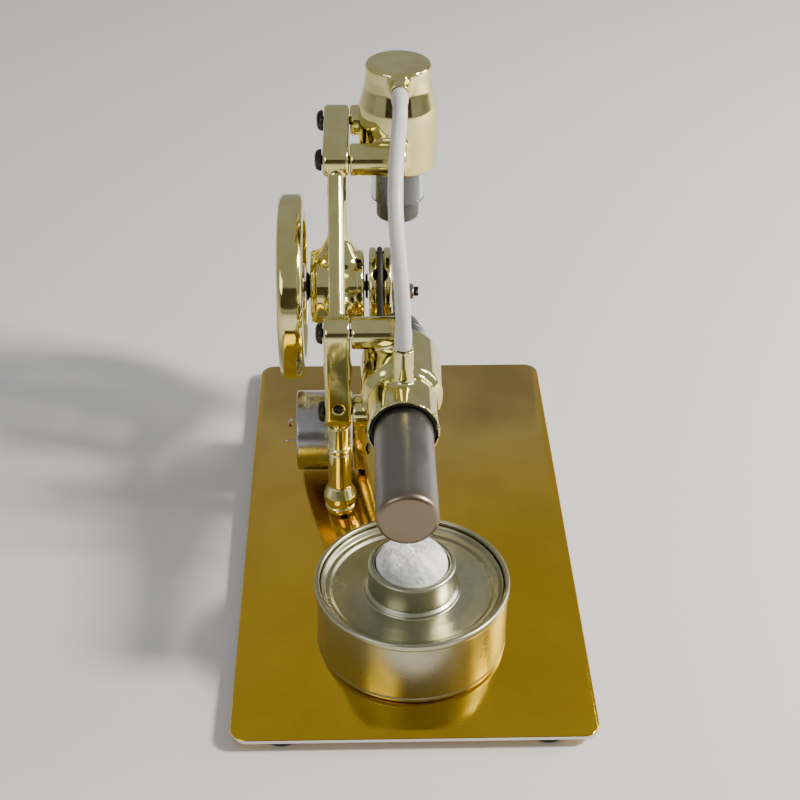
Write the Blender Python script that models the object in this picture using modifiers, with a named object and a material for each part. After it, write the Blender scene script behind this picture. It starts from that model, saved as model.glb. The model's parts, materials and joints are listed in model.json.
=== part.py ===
"""Two-cylinder hot-air engine with a belt-driven generator, on a base plate, with its spirit burner.

Metres, +Z up. The origin is at the middle of the base plate, on the table. The crankshaft runs along X.
The hot cylinder points along -Y from the crankshaft and the cold cylinder along +Z, both in one plane.
"""
import math

import bmesh
import bpy
from mathutils import Vector

MM = 0.001
CLEARANCE = 0.3 * MM  # between neighbours, at every seat, bore and joint

# Base plate and what it stands on
PLATE_WIDTH = 94 * MM
PLATE_LENGTH = 170 * MM
PLATE_THICKNESS = 1.5 * MM
PLATE_CORNER = 4.5 * MM
FOOT_RADIUS = 5.5 * MM
FOOT_HEIGHT = 2.2 * MM
FOOT_INSET_X = 13 * MM
FOOT_INSET_Y = 6.3 * MM
DECK = FOOT_HEIGHT + CLEARANCE + PLATE_THICKNESS

# Crankshaft line and the two cylinders
CRANK_Y = 55.5 * MM
CRANK_HEIGHT = 49 * MM  # above the deck
CRANK_Z = DECK + CRANK_HEIGHT
CYLINDER_X = -1.7 * MM
CRANK_THROW = 6.3 * MM
PIN_ANGLE = math.radians(-47)  # crank pin at rest, from +Y towards +Z
ROD_LENGTH = 34.5 * MM

# Cast frame: hub, two arms and a T-bar at the end of each arm
FRAME_X = -19.6 * MM
TOP_REACH = 49.2 * MM  # crankshaft to the top T-bar
FRONT_REACH = 48 * MM  # crankshaft to the front T-bar
ARM_RADIUS = 3 * MM
BRACE_RADIUS = 2.3 * MM
BAR_RADIUS = 4.6 * MM
BAR_WIDTH = 7.4 * MM
HUB_X = -20 * MM
HUB_LENGTH = 16.4 * MM
HUB_RADIUS = 11.5 * MM
BEARING_RADIUS = 5 * MM
BEARING_WIDTH = 3.6 * MM
SHAFT_RADIUS = 1.5 * MM

# Post under the front T-bar
POST_RADIUS = 3.4 * MM
POST_BULB_RADIUS = 4.9 * MM
POST_NECK_RADIUS = 3.05 * MM
POST_STEP_HEIGHT = 22.5 * MM  # above the deck
SPIGOT_RADIUS = 2.4 * MM
SPIGOT_LENGTH = 10 * MM

# Flywheel, crank pulley and spacers
FLYWHEEL_X = -33.8 * MM
FLYWHEEL_RADIUS = 28.5 * MM
FLYWHEEL_WIDTH = 7.6 * MM
RIM_DEPTH = 5.5 * MM
WEB_THICKNESS = 3 * MM
FLYWHEEL_HUB_RADIUS = 7 * MM
FLYWHEEL_HOLES = 6
FLYWHEEL_HOLE_RADIUS = 4.3 * MM
FLYWHEEL_HOLE_PHASE = math.radians(20)
PULLEY_X = -7 * MM
PULLEY_WIDTH = 6.8 * MM
PULLEY_RADIUS = 12 * MM
BELT_RADIUS = 0.9 * MM
GROOVE_RADIUS = BELT_RADIUS + CLEARANCE
MOTOR_PULLEY_RADIUS = 4 * MM
MOTOR_PULLEY_WIDTH = 4.4 * MM
GRUB_RADIUS = 1.5 * MM
CRANK_PIN_RADIUS = 1.5 * MM

# Connecting rods, on the outer side of the crank pulley
ROD_THICKNESS = 1.6 * MM
ROD_GAP = 0.4 * MM
BIG_END_RADIUS = 3.1 * MM
SMALL_END_RADIUS = 2.3 * MM
ROD_HALF_WIDTH = 1.3 * MM
WRIST_PIN_RADIUS = 1 * MM
WASHER_THICKNESS = 0.5 * MM
NUT_THICKNESS = 2 * MM
PIN_TIP = 1.6 * MM

# Pistons and cylinders, as distances from the crankshaft line
GLASS_RADIUS = 8 * MM
GLASS_WALL = 1.4 * MM
GLASS_START = 31 * MM
GLASS_END = 59.7 * MM
PISTON_RADIUS = GLASS_RADIUS - GLASS_WALL - CLEARANCE
PISTON_SKIRT = 4.6 * MM  # wrist pin to open end
PISTON_CROWN = 12 * MM  # wrist pin to crown
PISTON_BORE_RADIUS = 4.2 * MM
PISTON_BORE_DEPTH = 8.5 * MM
SLEEVE_WALL = 3.1 * MM
SLEEVE_RADIUS = GLASS_RADIUS + CLEARANCE + SLEEVE_WALL
SLEEVE_START = 42.2 * MM
CHAMBER_STEP = 0.5 * MM
CHAMBER_RADIUS = PISTON_RADIUS + CHAMBER_STEP
LUG_RADIUS = 4.6 * MM
LUG_OVERLAP = 2.75 * MM  # how far a lug enters its cylinder's sleeve
BAR_HALF_SPAN = SLEEVE_RADIUS + LUG_RADIUS - LUG_OVERLAP  # screw to bar centre
CAP_WALL = 2.5 * MM
CAP_RADIUS = CHAMBER_RADIUS + CAP_WALL
CAP_START = 67.5 * MM
CAP_END = 73 * MM
CAP_ROOF = 2.2 * MM
COLD_PORT = 69.4 * MM
COLD_SHOULDER = 60 * MM
HOT_SHOULDER = 61 * MM
COLLAR_END = 77 * MM
HOT_PORT = 66 * MM
TUBE_RADIUS = 8 * MM
TUBE_WALL = 0.8 * MM
TUBE_START = 69.5 * MM
TUBE_END = 114.5 * MM
SEAL_WIDTH = 1.6 * MM
SEAL_DEPTH = 1 * MM
COLLAR_WALL = 0.5 * MM
COLLAR_RADIUS = TUBE_RADIUS + CLEARANCE + SEAL_DEPTH + COLLAR_WALL
DISPLACER_GAP = 1 * MM  # in the tube, for the air that passes round the displacer
DISPLACER_GLASS_GAP = 0.4 * MM
DISPLACER_RADIUS = min(TUBE_RADIUS - TUBE_WALL - DISPLACER_GAP,
                       GLASS_RADIUS - GLASS_WALL - DISPLACER_GLASS_GAP)
DISPLACER_LENGTH = 59 * MM

# Air hose and its nipples
BOSS_RADIUS = 2.9 * MM
HOT_BOSS_LENGTH = 10 * MM  # past the collar
COLD_BOSS_LENGTH = 5.2 * MM  # past the cap
STEM_RADIUS = 1.2 * MM
STEM_BORE = 0.6 * MM
STEM_LENGTH = 5 * MM
STEM_SEAT = 3 * MM
HOSE_RADIUS = 2.1 * MM
HOSE_BORE = STEM_RADIUS + 0.35 * MM
HOSE_BOW = -1.9 * MM

# Generator motor and its upright
MOTOR_Y = 30 * MM
MOTOR_RADIUS = 12.2 * MM
MOTOR_HEIGHT = MOTOR_RADIUS + 0.6 * MM  # above the deck
MOTOR_LENGTH = 17 * MM
MOTOR_WALL = 0.8 * MM
MOTOR_SHAFT_RADIUS = 1 * MM
MOTOR_SCREW_RADIUS = 1 * MM
END_CAP_THICKNESS = 1.8 * MM
TERMINAL_SPREAD = 5.5 * MM
TERMINAL_RADIUS = 0.45 * MM
TERMINAL_LENGTH = 3.6 * MM
MOUNT_THICKNESS = 3.6 * MM
MOUNT_HALF_WIDTH = 4.5 * MM
MOUNT_RIGHT = -11.8 * MM
MOUNT_HOLE_OFFSET = 7.4 * MM
MOUNT_SCREW_RADIUS = 0.8 * MM
MOTOR_BOSS_RADIUS = 3 * MM

# Spirit burner
BURNER_Y = -48.4 * MM
CAN_RADIUS = 25.3 * MM
CAN_HEIGHT = 21 * MM
CAN_WALL = 0.8 * MM
RIM_PROUD = 0.5 * MM
RIM_HEIGHT = 1.8 * MM
LID_DROP = 3.4 * MM
NECK_RADIUS = 11.5 * MM
NECK_HEIGHT = 9 * MM
WICK_RISE = 7 * MM

# M3 pan-head screws of the cylinders
SCREW_HEAD_RADIUS = 3.3 * MM
SCREW_HEAD_HEIGHT = 2 * MM
SCREW_RADIUS = 1.25 * MM
SCREW_REACH = 14.5 * MM

TURNS = {
    "+X": (0, math.pi / 2, 0),
    "-X": (0, -math.pi / 2, 0),
    "+Y": (-math.pi / 2, 0, 0),
    "-Y": (math.pi / 2, 0, 0),
    "+Z": (0, 0, 0),
    "-Z": (math.pi, 0, 0),
}

MOTOR_Z = DECK + MOTOR_HEIGHT
PULLEY_LEFT = PULLEY_X - PULLEY_WIDTH / 2
PULLEY_RIGHT = PULLEY_X + PULLEY_WIDTH / 2
HUB_LEFT = HUB_X - HUB_LENGTH / 2
HUB_RIGHT = HUB_X + HUB_LENGTH / 2
BAR_LEFT = FRAME_X - BAR_WIDTH / 2
BAR_RIGHT = FRAME_X + BAR_WIDTH / 2
FRONT_BAR_Y = CRANK_Y - FRONT_REACH
TOP_BAR_Z = CRANK_Z + TOP_REACH
HOT_ROD_X = PULLEY_RIGHT + ROD_GAP + ROD_THICKNESS / 2
COLD_ROD_X = HOT_ROD_X + ROD_GAP + ROD_THICKNESS
PIN_Y = CRANK_THROW * math.cos(PIN_ANGLE)  # crank pin, from the crankshaft line
PIN_Z = CRANK_THROW * math.sin(PIN_ANGLE)
HOT_WRIST = math.sqrt(ROD_LENGTH ** 2 - PIN_Z ** 2) - PIN_Y
COLD_WRIST = math.sqrt(ROD_LENGTH ** 2 - PIN_Y ** 2) + PIN_Z


def clear_scene():
    for old in list(bpy.data.objects):
        bpy.data.objects.remove(old, do_unlink=True)


def new_collection(name):
    made = bpy.data.collections.new(name)
    bpy.context.scene.collection.children.link(made)
    return made


def material(name, colour, roughness, metallic):
    made = bpy.data.materials.new(name)
    made.use_nodes = True
    shader = made.node_tree.nodes["Principled BSDF"]
    shader.inputs["Base Color"].default_value = (*colour, 1)
    shader.inputs["Roughness"].default_value = roughness
    shader.inputs["Metallic"].default_value = metallic
    made.diffuse_color = (*colour, 1)
    return made


clear_scene()
PARTS = new_collection("hot_air_engine")
CUTTERS = new_collection("cutters")
GOLD = material("pale gold plating", (0.72, 0.62, 0.33), 0.12, 1)
DECK_GOLD = material("gold film on aluminium", (0.62, 0.38, 0.06), 0.15, 1)
STEEL = material("brushed steel", (0.42, 0.40, 0.37), 0.32, 1)
DARK_STEEL = material("dark nickel", (0.13, 0.13, 0.12), 0.35, 1)
TINPLATE = material("tinplate", (0.55, 0.53, 0.46), 0.3, 1)
ZINC = material("zinc-plated steel", (0.60, 0.60, 0.57), 0.28, 1)
GRAPHITE = material("graphite", (0.14, 0.13, 0.13), 0.45, 0.3)
GLASS = material("borosilicate glass", (0.85, 0.88, 0.88), 0.03, 0)
RUBBER = material("black rubber", (0.015, 0.015, 0.015), 0.7, 0)
BLACK = material("black nylon", (0.03, 0.025, 0.02), 0.4, 0)
SILICONE = material("translucent silicone", (0.85, 0.84, 0.80), 0.35, 0)
COTTON = material("cotton wool", (0.85, 0.85, 0.82), 0.95, 0)


def add_object(name, data, finish=None, at=(0, 0, 0), turn="+Z"):
    """Links a new object: a part when it has a finish, a hidden helper when it has none."""
    made = bpy.data.objects.new(name, data)
    made.location = at
    made.rotation_euler = TURNS[turn]
    if finish is None:
        made.hide_render = True
        made.display_type = "WIRE"
        CUTTERS.objects.link(made)
    else:
        data.materials.append(finish)
        PARTS.objects.link(made)
    return made


def rounded(corners, closed=False, arc_steps=1):
    """The outline through corners (x, y) or (x, y, radius), with each radius drawn as an arc."""
    outline = []
    for i, corner in enumerate(corners):
        here = Vector(corner[:2])
        if len(corner) == 2 or corner[2] == 0 or (not closed and i in (0, len(corners) - 1)):
            outline.append(here)
            continue
        before = Vector(corners[i - 1][:2]) - here
        after = Vector(corners[(i + 1) % len(corners)][:2]) - here
        half = before.angle(after) / 2
        back = min(corner[2] / math.tan(half), before.length / 2.05, after.length / 2.05)
        radius = back * math.tan(half)
        middle = here + (before.normalized() + after.normalized()).normalized() * radius / math.sin(half)
        start = here + before.normalized() * back - middle
        end = here + after.normalized() * back - middle
        sweep = start.angle_signed(end)
        for step in range(arc_steps + 1):
            angle = -sweep * step / arc_steps
            cos, sin = math.cos(angle), math.sin(angle)
            outline.append(middle + Vector((start.x * cos - start.y * sin, start.x * sin + start.y * cos)))
    return outline


def turned(name, corners, finish=None, at=(0, 0, 0), turn="+Z", steps=20, closed=False, arc_steps=1):
    """A lathe part: corners are (radius, height) down its outer side, closed where it has a bore."""
    outline = rounded(corners, closed, arc_steps)
    mesh = bpy.data.meshes.new(name)
    edges = [(i, i + 1) for i in range(len(outline) - 1)]
    if closed:
        edges.append((len(outline) - 1, 0))
    mesh.from_pydata([(p.x, 0, p.y) for p in outline], edges, [])
    made = add_object(name, mesh, finish, at, turn)
    screw = made.modifiers.new("turn", "SCREW")
    screw.steps = screw.render_steps = steps
    screw.use_merge_vertices = True
    screw.merge_threshold = 0.00001
    screw.use_smooth_shade = True
    return made


def rod(name, radius, start, end, turn, finish=None, steps=12, edge=0.0):
    """A plain round bar from start, as far along turn as end says."""
    corners = [(0, end), (radius, end, edge), (radius, 0, edge), (0, 0)]
    return turned(name, corners, finish, start, turn, steps)


def outline_solid(name, outlines, thickness, at, finish=None, edge=0.0):
    """Flat outlines in Y and Z, the later ones being holes, made into a plate that is thick along X."""
    curve = bpy.data.curves.new(name, "CURVE")
    curve.dimensions = "2D"
    curve.fill_mode = "BOTH"
    curve.extrude = thickness / 2 - edge
    curve.bevel_depth = edge
    curve.bevel_resolution = 0
    curve.offset = -edge
    for outline in outlines:
        spline = curve.splines.new("POLY")
        spline.points.add(len(outline) - 1)
        for point, (y, z) in zip(spline.points, outline):
            point.co = (y, z, 0, 1)
        spline.use_cyclic_u = True
    return meshed(name, curve, at, finish, (math.pi / 2, 0, math.pi / 2))


def meshed(name, curve, at, finish, rotation):
    """A curve made into one welded mesh, so that it can be cut and joined."""
    drawn = bpy.data.objects.new(name + "_curve", curve)
    drawn.location = at
    drawn.rotation_euler = rotation
    CUTTERS.objects.link(drawn)
    bpy.context.view_layer.update()
    graph = bpy.context.evaluated_depsgraph_get()
    mesh = bpy.data.meshes.new_from_object(drawn.evaluated_get(graph))
    work = bmesh.new()
    work.from_mesh(mesh)
    bmesh.ops.remove_doubles(work, verts=work.verts, dist=0.000002)
    bmesh.ops.recalc_face_normals(work, faces=work.faces)
    work.to_mesh(mesh)
    work.free()
    mesh.materials.clear()
    placed = drawn.matrix_world.copy()
    bpy.data.objects.remove(drawn, do_unlink=True)
    made = add_object(name, mesh, finish)
    made.matrix_world = placed
    return made


def smooth(part, degrees=35):
    part.data.shade_smooth()
    part.data.set_sharp_from_angle(angle=math.radians(degrees))


def combine(part, other, operation):
    step = part.modifiers.new(other.name, "BOOLEAN")
    step.operation = operation
    step.solver = "EXACT"
    step.object = other


def join(part, *others):
    for other in others:
        combine(part, other, "UNION")


def cut(part, *others):
    for other in others:
        combine(part, other, "DIFFERENCE")


def arc(centre, radius, start, end, steps):
    """Points on a circle in a plane, angles in degrees from its first axis."""
    angles = [math.radians(start + (end - start) * i / steps) for i in range(steps + 1)]
    return [(centre[0] + radius * math.cos(a), centre[1] + radius * math.sin(a)) for a in angles]


def stadium(half_span, radius, upright, steps=5):
    """A bar outline with round ends, along the first axis or upright along the second."""
    ends = arc((half_span, 0), radius, -90, 90, steps) + arc((-half_span, 0), radius, 90, 270, steps)
    return [(-v, u) for u, v in ends] if upright else ends


def make_base():
    bm = bmesh.new()
    bmesh.ops.create_cube(bm, size=1)
    bmesh.ops.scale(bm, vec=(PLATE_WIDTH, PLATE_LENGTH, PLATE_THICKNESS), verts=bm.verts)
    upright = [e for e in bm.edges if abs(e.verts[0].co.z - e.verts[1].co.z) > PLATE_THICKNESS / 2]
    bmesh.ops.bevel(bm, geom=upright, offset=PLATE_CORNER, segments=5, profile=0.5, affect="EDGES")
    mesh = bpy.data.meshes.new("base_plate")
    bm.to_mesh(mesh)
    bm.free()
    plate = add_object("base_plate", mesh, DECK_GOLD, (0, 0, DECK - PLATE_THICKNESS / 2))
    for place, (x, y, radius) in enumerate(fixing_places()):
        cut(plate, rod(f"plate_hole_{place}", radius + CLEARANCE, (x, y, 0), 2 * DECK, "+Z", steps=16))
    for side_x in (-1, 1):
        for side_y in (-1, 1):
            name = f"rubber_foot_{'front' if side_y < 0 else 'rear'}_{'left' if side_x < 0 else 'right'}"
            at = (side_x * (PLATE_WIDTH / 2 - FOOT_INSET_X), side_y * (PLATE_LENGTH / 2 - FOOT_INSET_Y), 0)
            corners = [(0, FOOT_HEIGHT), (FOOT_RADIUS, FOOT_HEIGHT), (FOOT_RADIUS, 0, 0.8 * MM), (0, 0)]
            turned(name, corners, RUBBER, at, steps=16)


def fixing_places():
    """(x, y, radius) of the screws up through the plate: the post's, then the motor upright's two."""
    middle = MOUNT_RIGHT - MOUNT_THICKNESS / 2
    spread = MOUNT_HALF_WIDTH - MOUNT_SCREW_RADIUS - 1.2 * MM
    return [(FRAME_X, FRONT_BAR_Y, SCREW_RADIUS), (middle, MOTOR_Y - spread, MOUNT_SCREW_RADIUS),
            (middle, MOTOR_Y + spread, MOUNT_SCREW_RADIUS)]


def fixing_screw(name, x, y, radius, reach):
    """A screw up from under the plate, its head in the space that the feet leave."""
    head, head_top = 1.5 * MM, DECK - PLATE_THICKNESS - CLEARANCE
    corners = [(0, head_top + reach), (radius, head_top + reach, 0.3 * MM), (radius, head_top),
               (2.1 * radius, head_top), (2.1 * radius, head_top - head, 0.5 * MM), (0, head_top - head)]
    turned(name, corners, DARK_STEEL, (x, y, 0), steps=12)


def make_post():
    """The turned post: bulb foot, slim waist, a step, a neck and a spigot that enters the front T-bar."""
    bar_bottom = CRANK_HEIGHT - BAR_HALF_SPAN - BAR_RADIUS
    top = bar_bottom + SPIGOT_LENGTH
    bore = SCREW_RADIUS + CLEARANCE
    corners = [(0, top), (SPIGOT_RADIUS, top, 0.3 * MM), (SPIGOT_RADIUS, bar_bottom - CLEARANCE),
               (POST_NECK_RADIUS, bar_bottom - CLEARANCE, 0.3 * MM), (POST_NECK_RADIUS, POST_STEP_HEIGHT),
               (POST_RADIUS, POST_STEP_HEIGHT, 0.4 * MM), (POST_RADIUS, 9.5 * MM, 3 * MM),
               (POST_BULB_RADIUS, 6 * MM, 1.5 * MM), (POST_BULB_RADIUS, 3.6 * MM, 1.2 * MM),
               (4.2 * MM, 2.2 * MM), (4.5 * MM, 1.6 * MM), (4.2 * MM, CLEARANCE),
               (bore, CLEARANCE), (bore, 10 * MM), (0, 10 * MM)]
    post = turned("frame_post", corners, GOLD, (FRAME_X, FRONT_BAR_Y, DECK), steps=16)
    # The lower cylinder screw passes through the spigot too, and pins the post to the bar.
    y, z = lug_places()[3]
    cut(post, rod("spigot_hole", SCREW_RADIUS + CLEARANCE, (BAR_LEFT, y, z), BAR_WIDTH, "+X", steps=10))
    fixing_screw("post_screw", FRAME_X, FRONT_BAR_Y, SCREW_RADIUS, 10 * MM)
    x, y, z = post_grub()
    length = BAR_RADIUS - SPIGOT_RADIUS - 2 * CLEARANCE
    at = (x, y + CLEARANCE, z)
    grub = rod("post_grub_screw", GRUB_RADIUS - CLEARANCE, at, length, "+Y", DARK_STEEL, 16)
    cut(grub, rod("post_grub_socket", 0.6 * MM, (x, y - MM, z), 2 * MM, "+Y", steps=6))


def post_grub():
    """Mouth of the grub screw's hole, on the front face of the front T-bar."""
    return FRAME_X, FRONT_BAR_Y - BAR_RADIUS, CRANK_Z - BAR_HALF_SPAN + 3.6 * MM


def arm(name, turn, to_bar, flare):
    """A round arm from the hub to a T-bar, flared at its root and a little under the bar."""
    reach = to_bar - BAR_RADIUS + 2 * MM
    corners = [(0, reach), (ARM_RADIUS + 0.8 * MM, reach), (ARM_RADIUS, reach - 5 * MM, 4 * MM),
               (ARM_RADIUS, HUB_RADIUS + 1.5 * flare, 2 * flare),
               (ARM_RADIUS + flare, HUB_RADIUS - 1.5 * MM),
               (ARM_RADIUS + flare / 2, HUB_RADIUS - 4 * MM), (0, HUB_RADIUS - 4 * MM)]
    return turned(name, corners, None, (FRAME_X, CRANK_Y, CRANK_Z), turn, steps=12, arc_steps=2)


def brace():
    """The slanting round bar between the near ends of the two T-bars, short of their screws."""
    (y, z), _, (low_y, low_z), _ = lug_places()
    length = math.hypot(y - low_y, z - low_z)
    inset = BAR_RADIUS - 2 * MM
    corners = [(0, length - inset), (BRACE_RADIUS, length - inset), (BRACE_RADIUS, inset), (0, inset)]
    made = turned("brace", corners, None, (FRAME_X, y, z), "+Z", steps=12)
    made.rotation_euler = (math.atan2(y - low_y, low_z - z), 0, 0)
    return made


def make_frame():
    half = HUB_LENGTH / 2
    corners = [(0, half), (HUB_RADIUS, half, 1.6 * MM), (HUB_RADIUS, -half, 1.6 * MM), (0, -half)]
    frame = turned("frame_casting", corners, GOLD, (HUB_X, CRANK_Y, CRANK_Z), "+X", steps=24)
    top = outline_solid("top_bar", [stadium(BAR_HALF_SPAN, BAR_RADIUS, False)], BAR_WIDTH,
                        (FRAME_X, CRANK_Y, TOP_BAR_Z), edge=0.7 * MM)
    front = outline_solid("front_bar", [stadium(BAR_HALF_SPAN, BAR_RADIUS, True)], BAR_WIDTH,
                          (FRAME_X, FRONT_BAR_Y, CRANK_Z), edge=0.7 * MM)
    arms = (arm("top_arm", "+Z", TOP_REACH, 4 * MM), arm("front_arm", "-Y", FRONT_REACH, MM))
    join(frame, *arms, brace(), top, front)
    seat = BEARING_WIDTH + 2 * CLEARANCE
    for side, x, turn in (("left", HUB_LEFT, "+X"), ("right", HUB_RIGHT, "-X")):
        step = -MM if side == "left" else MM
        cut(frame, rod(f"bearing_seat_{side}", BEARING_RADIUS + CLEARANCE, (x + step, CRANK_Y, CRANK_Z),
                       seat + MM, turn, steps=16))
    start = (HUB_LEFT, CRANK_Y, CRANK_Z)
    cut(frame, rod("hub_bore", BEARING_RADIUS - MM, start, HUB_LENGTH, "+X", steps=12))
    for place, (y, z) in enumerate(lug_places()):
        cut(frame, rod(f"bar_hole_{place}", SCREW_RADIUS + CLEARANCE, (BAR_LEFT - MM, y, z),
                       BAR_WIDTH + 2 * MM, "+X", steps=10))
    bottom = CRANK_Z - BAR_HALF_SPAN - BAR_RADIUS
    cut(frame, rod("spigot_socket", SPIGOT_RADIUS + CLEARANCE, (FRAME_X, FRONT_BAR_Y, bottom - MM),
                   SPIGOT_LENGTH + MM + CLEARANCE, "+Z", steps=12))
    x, y, z = post_grub()
    cut(frame, rod("grub_hole", GRUB_RADIUS, (x, y - MM, z), BAR_RADIUS, "+Y", steps=12))
    smooth(frame)


def lug_places():
    """(y, z) of the four cylinder screws: the cold cylinder's pair, then the hot cylinder's."""
    return [(CRANK_Y - BAR_HALF_SPAN, TOP_BAR_Z), (CRANK_Y + BAR_HALF_SPAN, TOP_BAR_Z),
            (FRONT_BAR_Y, CRANK_Z + BAR_HALF_SPAN), (FRONT_BAR_Y, CRANK_Z - BAR_HALF_SPAN)]


def make_cylinder_screws():
    names = ("cold_screw_front", "cold_screw_rear", "hot_screw_upper", "hot_screw_lower")
    for name, (y, z) in zip(names, lug_places()):
        head = SCREW_HEAD_HEIGHT
        corners = [(0, head), (1.6 * MM, head), (SCREW_HEAD_RADIUS - 0.4 * MM, head - 0.5 * MM),
                   (SCREW_HEAD_RADIUS, head / 3, 0.6 * MM), (SCREW_HEAD_RADIUS - 0.3 * MM, 0),
                   (SCREW_RADIUS, 0), (SCREW_RADIUS, -SCREW_REACH, 0.3 * MM), (0, -SCREW_REACH)]
        screw = turned(name, corners, DARK_STEEL, (BAR_LEFT - CLEARANCE, y, z), "-X", steps=14)
        at = (BAR_LEFT - CLEARANCE - head - MM, y, z)
        cut(screw, rod(name + "_hex", 1 * MM, at, 2.1 * MM, "+X", steps=6))


def make_bearings():
    inner = SHAFT_RADIUS + CLEARANCE
    for side, x in (("left", HUB_LEFT), ("right", HUB_RIGHT - BEARING_WIDTH - CLEARANCE)):
        width, dip = BEARING_WIDTH, 0.35 * MM
        corners = [(BEARING_RADIUS, width), (BEARING_RADIUS, 0), (4.2 * MM, dip), (inner, dip),
                   (inner, width - dip), (4.2 * MM, width - dip)]
        start = x + CLEARANCE if side == "left" else x
        turned(f"bearing_{side}", corners, STEEL, (start, CRANK_Y, CRANK_Z), "+X", 16, True)


def make_shaft_parts():
    left = FLYWHEEL_X - FLYWHEEL_WIDTH / 2
    line = (left - 0.6 * MM, CRANK_Y, CRANK_Z)
    rod("crankshaft", SHAFT_RADIUS, line, PULLEY_RIGHT - 0.4 * MM - line[0], "+X", STEEL, 16, 0.25 * MM)
    inner = SHAFT_RADIUS + CLEARANCE
    wheel_right = left + FLYWHEEL_WIDTH + CLEARANCE
    nose = HUB_LEFT - wheel_right - CLEARANCE
    corners = [(inner, nose), (3.4 * MM, nose, 0.3 * MM), (5.8 * MM, 0, 0.3 * MM), (inner, 0)]
    turned("flywheel_spacer", corners, BLACK, (wheel_right, CRANK_Y, CRANK_Z), "+X", 20, True)
    gap = PULLEY_LEFT - HUB_RIGHT - 2 * CLEARANCE
    corners = [(inner, gap), (4.2 * MM, gap, 0.2 * MM), (3.6 * MM, 0, 0.2 * MM), (inner, 0)]
    turned("crank_spacer", corners, BLACK, (HUB_RIGHT + CLEARANCE, CRANK_Y, CRANK_Z), "+X", 20, True)


def make_flywheel():
    half, web, bore = FLYWHEEL_WIDTH / 2, WEB_THICKNESS / 2, SHAFT_RADIUS + CLEARANCE
    inside = FLYWHEEL_RADIUS - RIM_DEPTH
    corners = [(FLYWHEEL_RADIUS, half, 1.3 * MM), (FLYWHEEL_RADIUS, -half, 1.3 * MM), (inside, -half),
               (inside - 0.6 * MM, -web), (FLYWHEEL_HUB_RADIUS + 0.5 * MM, -web),
               (FLYWHEEL_HUB_RADIUS, -half), (bore, -half), (bore, half), (FLYWHEEL_HUB_RADIUS, half),
               (FLYWHEEL_HUB_RADIUS + 0.5 * MM, web),
               (inside - 0.6 * MM, web), (inside, half)]
    wheel = turned("flywheel", corners, GOLD, (FLYWHEEL_X, CRANK_Y, CRANK_Z), "+X", 32, True)
    ring = (inside + FLYWHEEL_HUB_RADIUS) / 2
    for place in range(FLYWHEEL_HOLES):
        angle = FLYWHEEL_HOLE_PHASE + 2 * math.pi * place / FLYWHEEL_HOLES
        at = (FLYWHEEL_X - half, CRANK_Y + ring * math.cos(angle), CRANK_Z + ring * math.sin(angle))
        cut(wheel, rod(f"wheel_hole_{place}", FLYWHEEL_HOLE_RADIUS, at, FLYWHEEL_WIDTH, "+X", steps=10))
    smooth(wheel)


def groove_corners(radius, half, bore):
    """A pulley's closed profile, with a round-bottomed groove in the middle of its rim."""
    mouth = GROOVE_RADIUS
    depth = radius - GROOVE_RADIUS - BELT_RADIUS * 0.9
    bottom = [(depth + mouth * (1 - math.sin(a)), mouth * math.cos(a))
              for a in (math.radians(d) for d in range(0, 181, 60))]
    return ([(radius, half, 0.6 * MM), (radius, mouth)] + bottom
            + [(radius, -mouth), (radius, -half, 0.6 * MM), (bore, -half), (bore, half)])


def belt_radius(pulley_radius):
    """Radius of the belt's middle line where it lies in a pulley's groove."""
    return pulley_radius - BELT_RADIUS * 0.9


def make_crank_pulley():
    bore = SHAFT_RADIUS + CLEARANCE
    pulley = turned("crank_pulley", groove_corners(PULLEY_RADIUS, PULLEY_WIDTH / 2, bore), GOLD,
                    (PULLEY_X, CRANK_Y, CRANK_Z), "+X", 24, True)
    pin_at = (PULLEY_LEFT - MM, CRANK_Y + PIN_Y, CRANK_Z + PIN_Z)
    through = PULLEY_WIDTH + 2 * MM
    cut(pulley, rod("crank_pin_hole", CRANK_PIN_RADIUS + CLEARANCE, pin_at, through, "+X", steps=12))
    start = (PULLEY_LEFT, *pin_at[1:])
    rod("crank_pin", CRANK_PIN_RADIUS, start, PULLEY_WIDTH + 0.1 * MM, "+X", STEEL, 14, 0.2 * MM)
    # The set screw is opposite the crank pin and points at the shaft.
    angle = PIN_ANGLE + math.pi
    lean = angle - math.pi / 2
    hole = radial("set_screw_hole", GRUB_RADIUS + 0.4 * MM, SHAFT_RADIUS, PULLEY_RADIUS + MM, lean)
    flare_start, flare_end = PULLEY_RADIUS - 1.2 * MM, PULLEY_RADIUS + MM
    flare = radial("set_screw_flare", GRUB_RADIUS + 0.8 * MM, flare_start, flare_end, lean)
    cut(pulley, hole, flare)
    grub = radial("crank_set_screw", GRUB_RADIUS, SHAFT_RADIUS + 2 * CLEARANCE, 6.6 * MM, lean, DARK_STEEL)
    cut(grub, radial("set_screw_socket", 0.75 * MM, 5 * MM, 8 * MM, lean, steps=6))
    smooth(pulley)


def radial(name, radius, start, end, lean, finish=None, steps=14):
    """A round bar that points out from the crankshaft line, between two distances, lean radians past +Z."""
    corners = [(0, end), (radius, end), (radius, start), (0, start)]
    made = turned(name, corners, finish, (PULLEY_X, CRANK_Y, CRANK_Z), "+Z", steps)
    made.rotation_euler = (lean, 0, 0)
    return made


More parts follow.
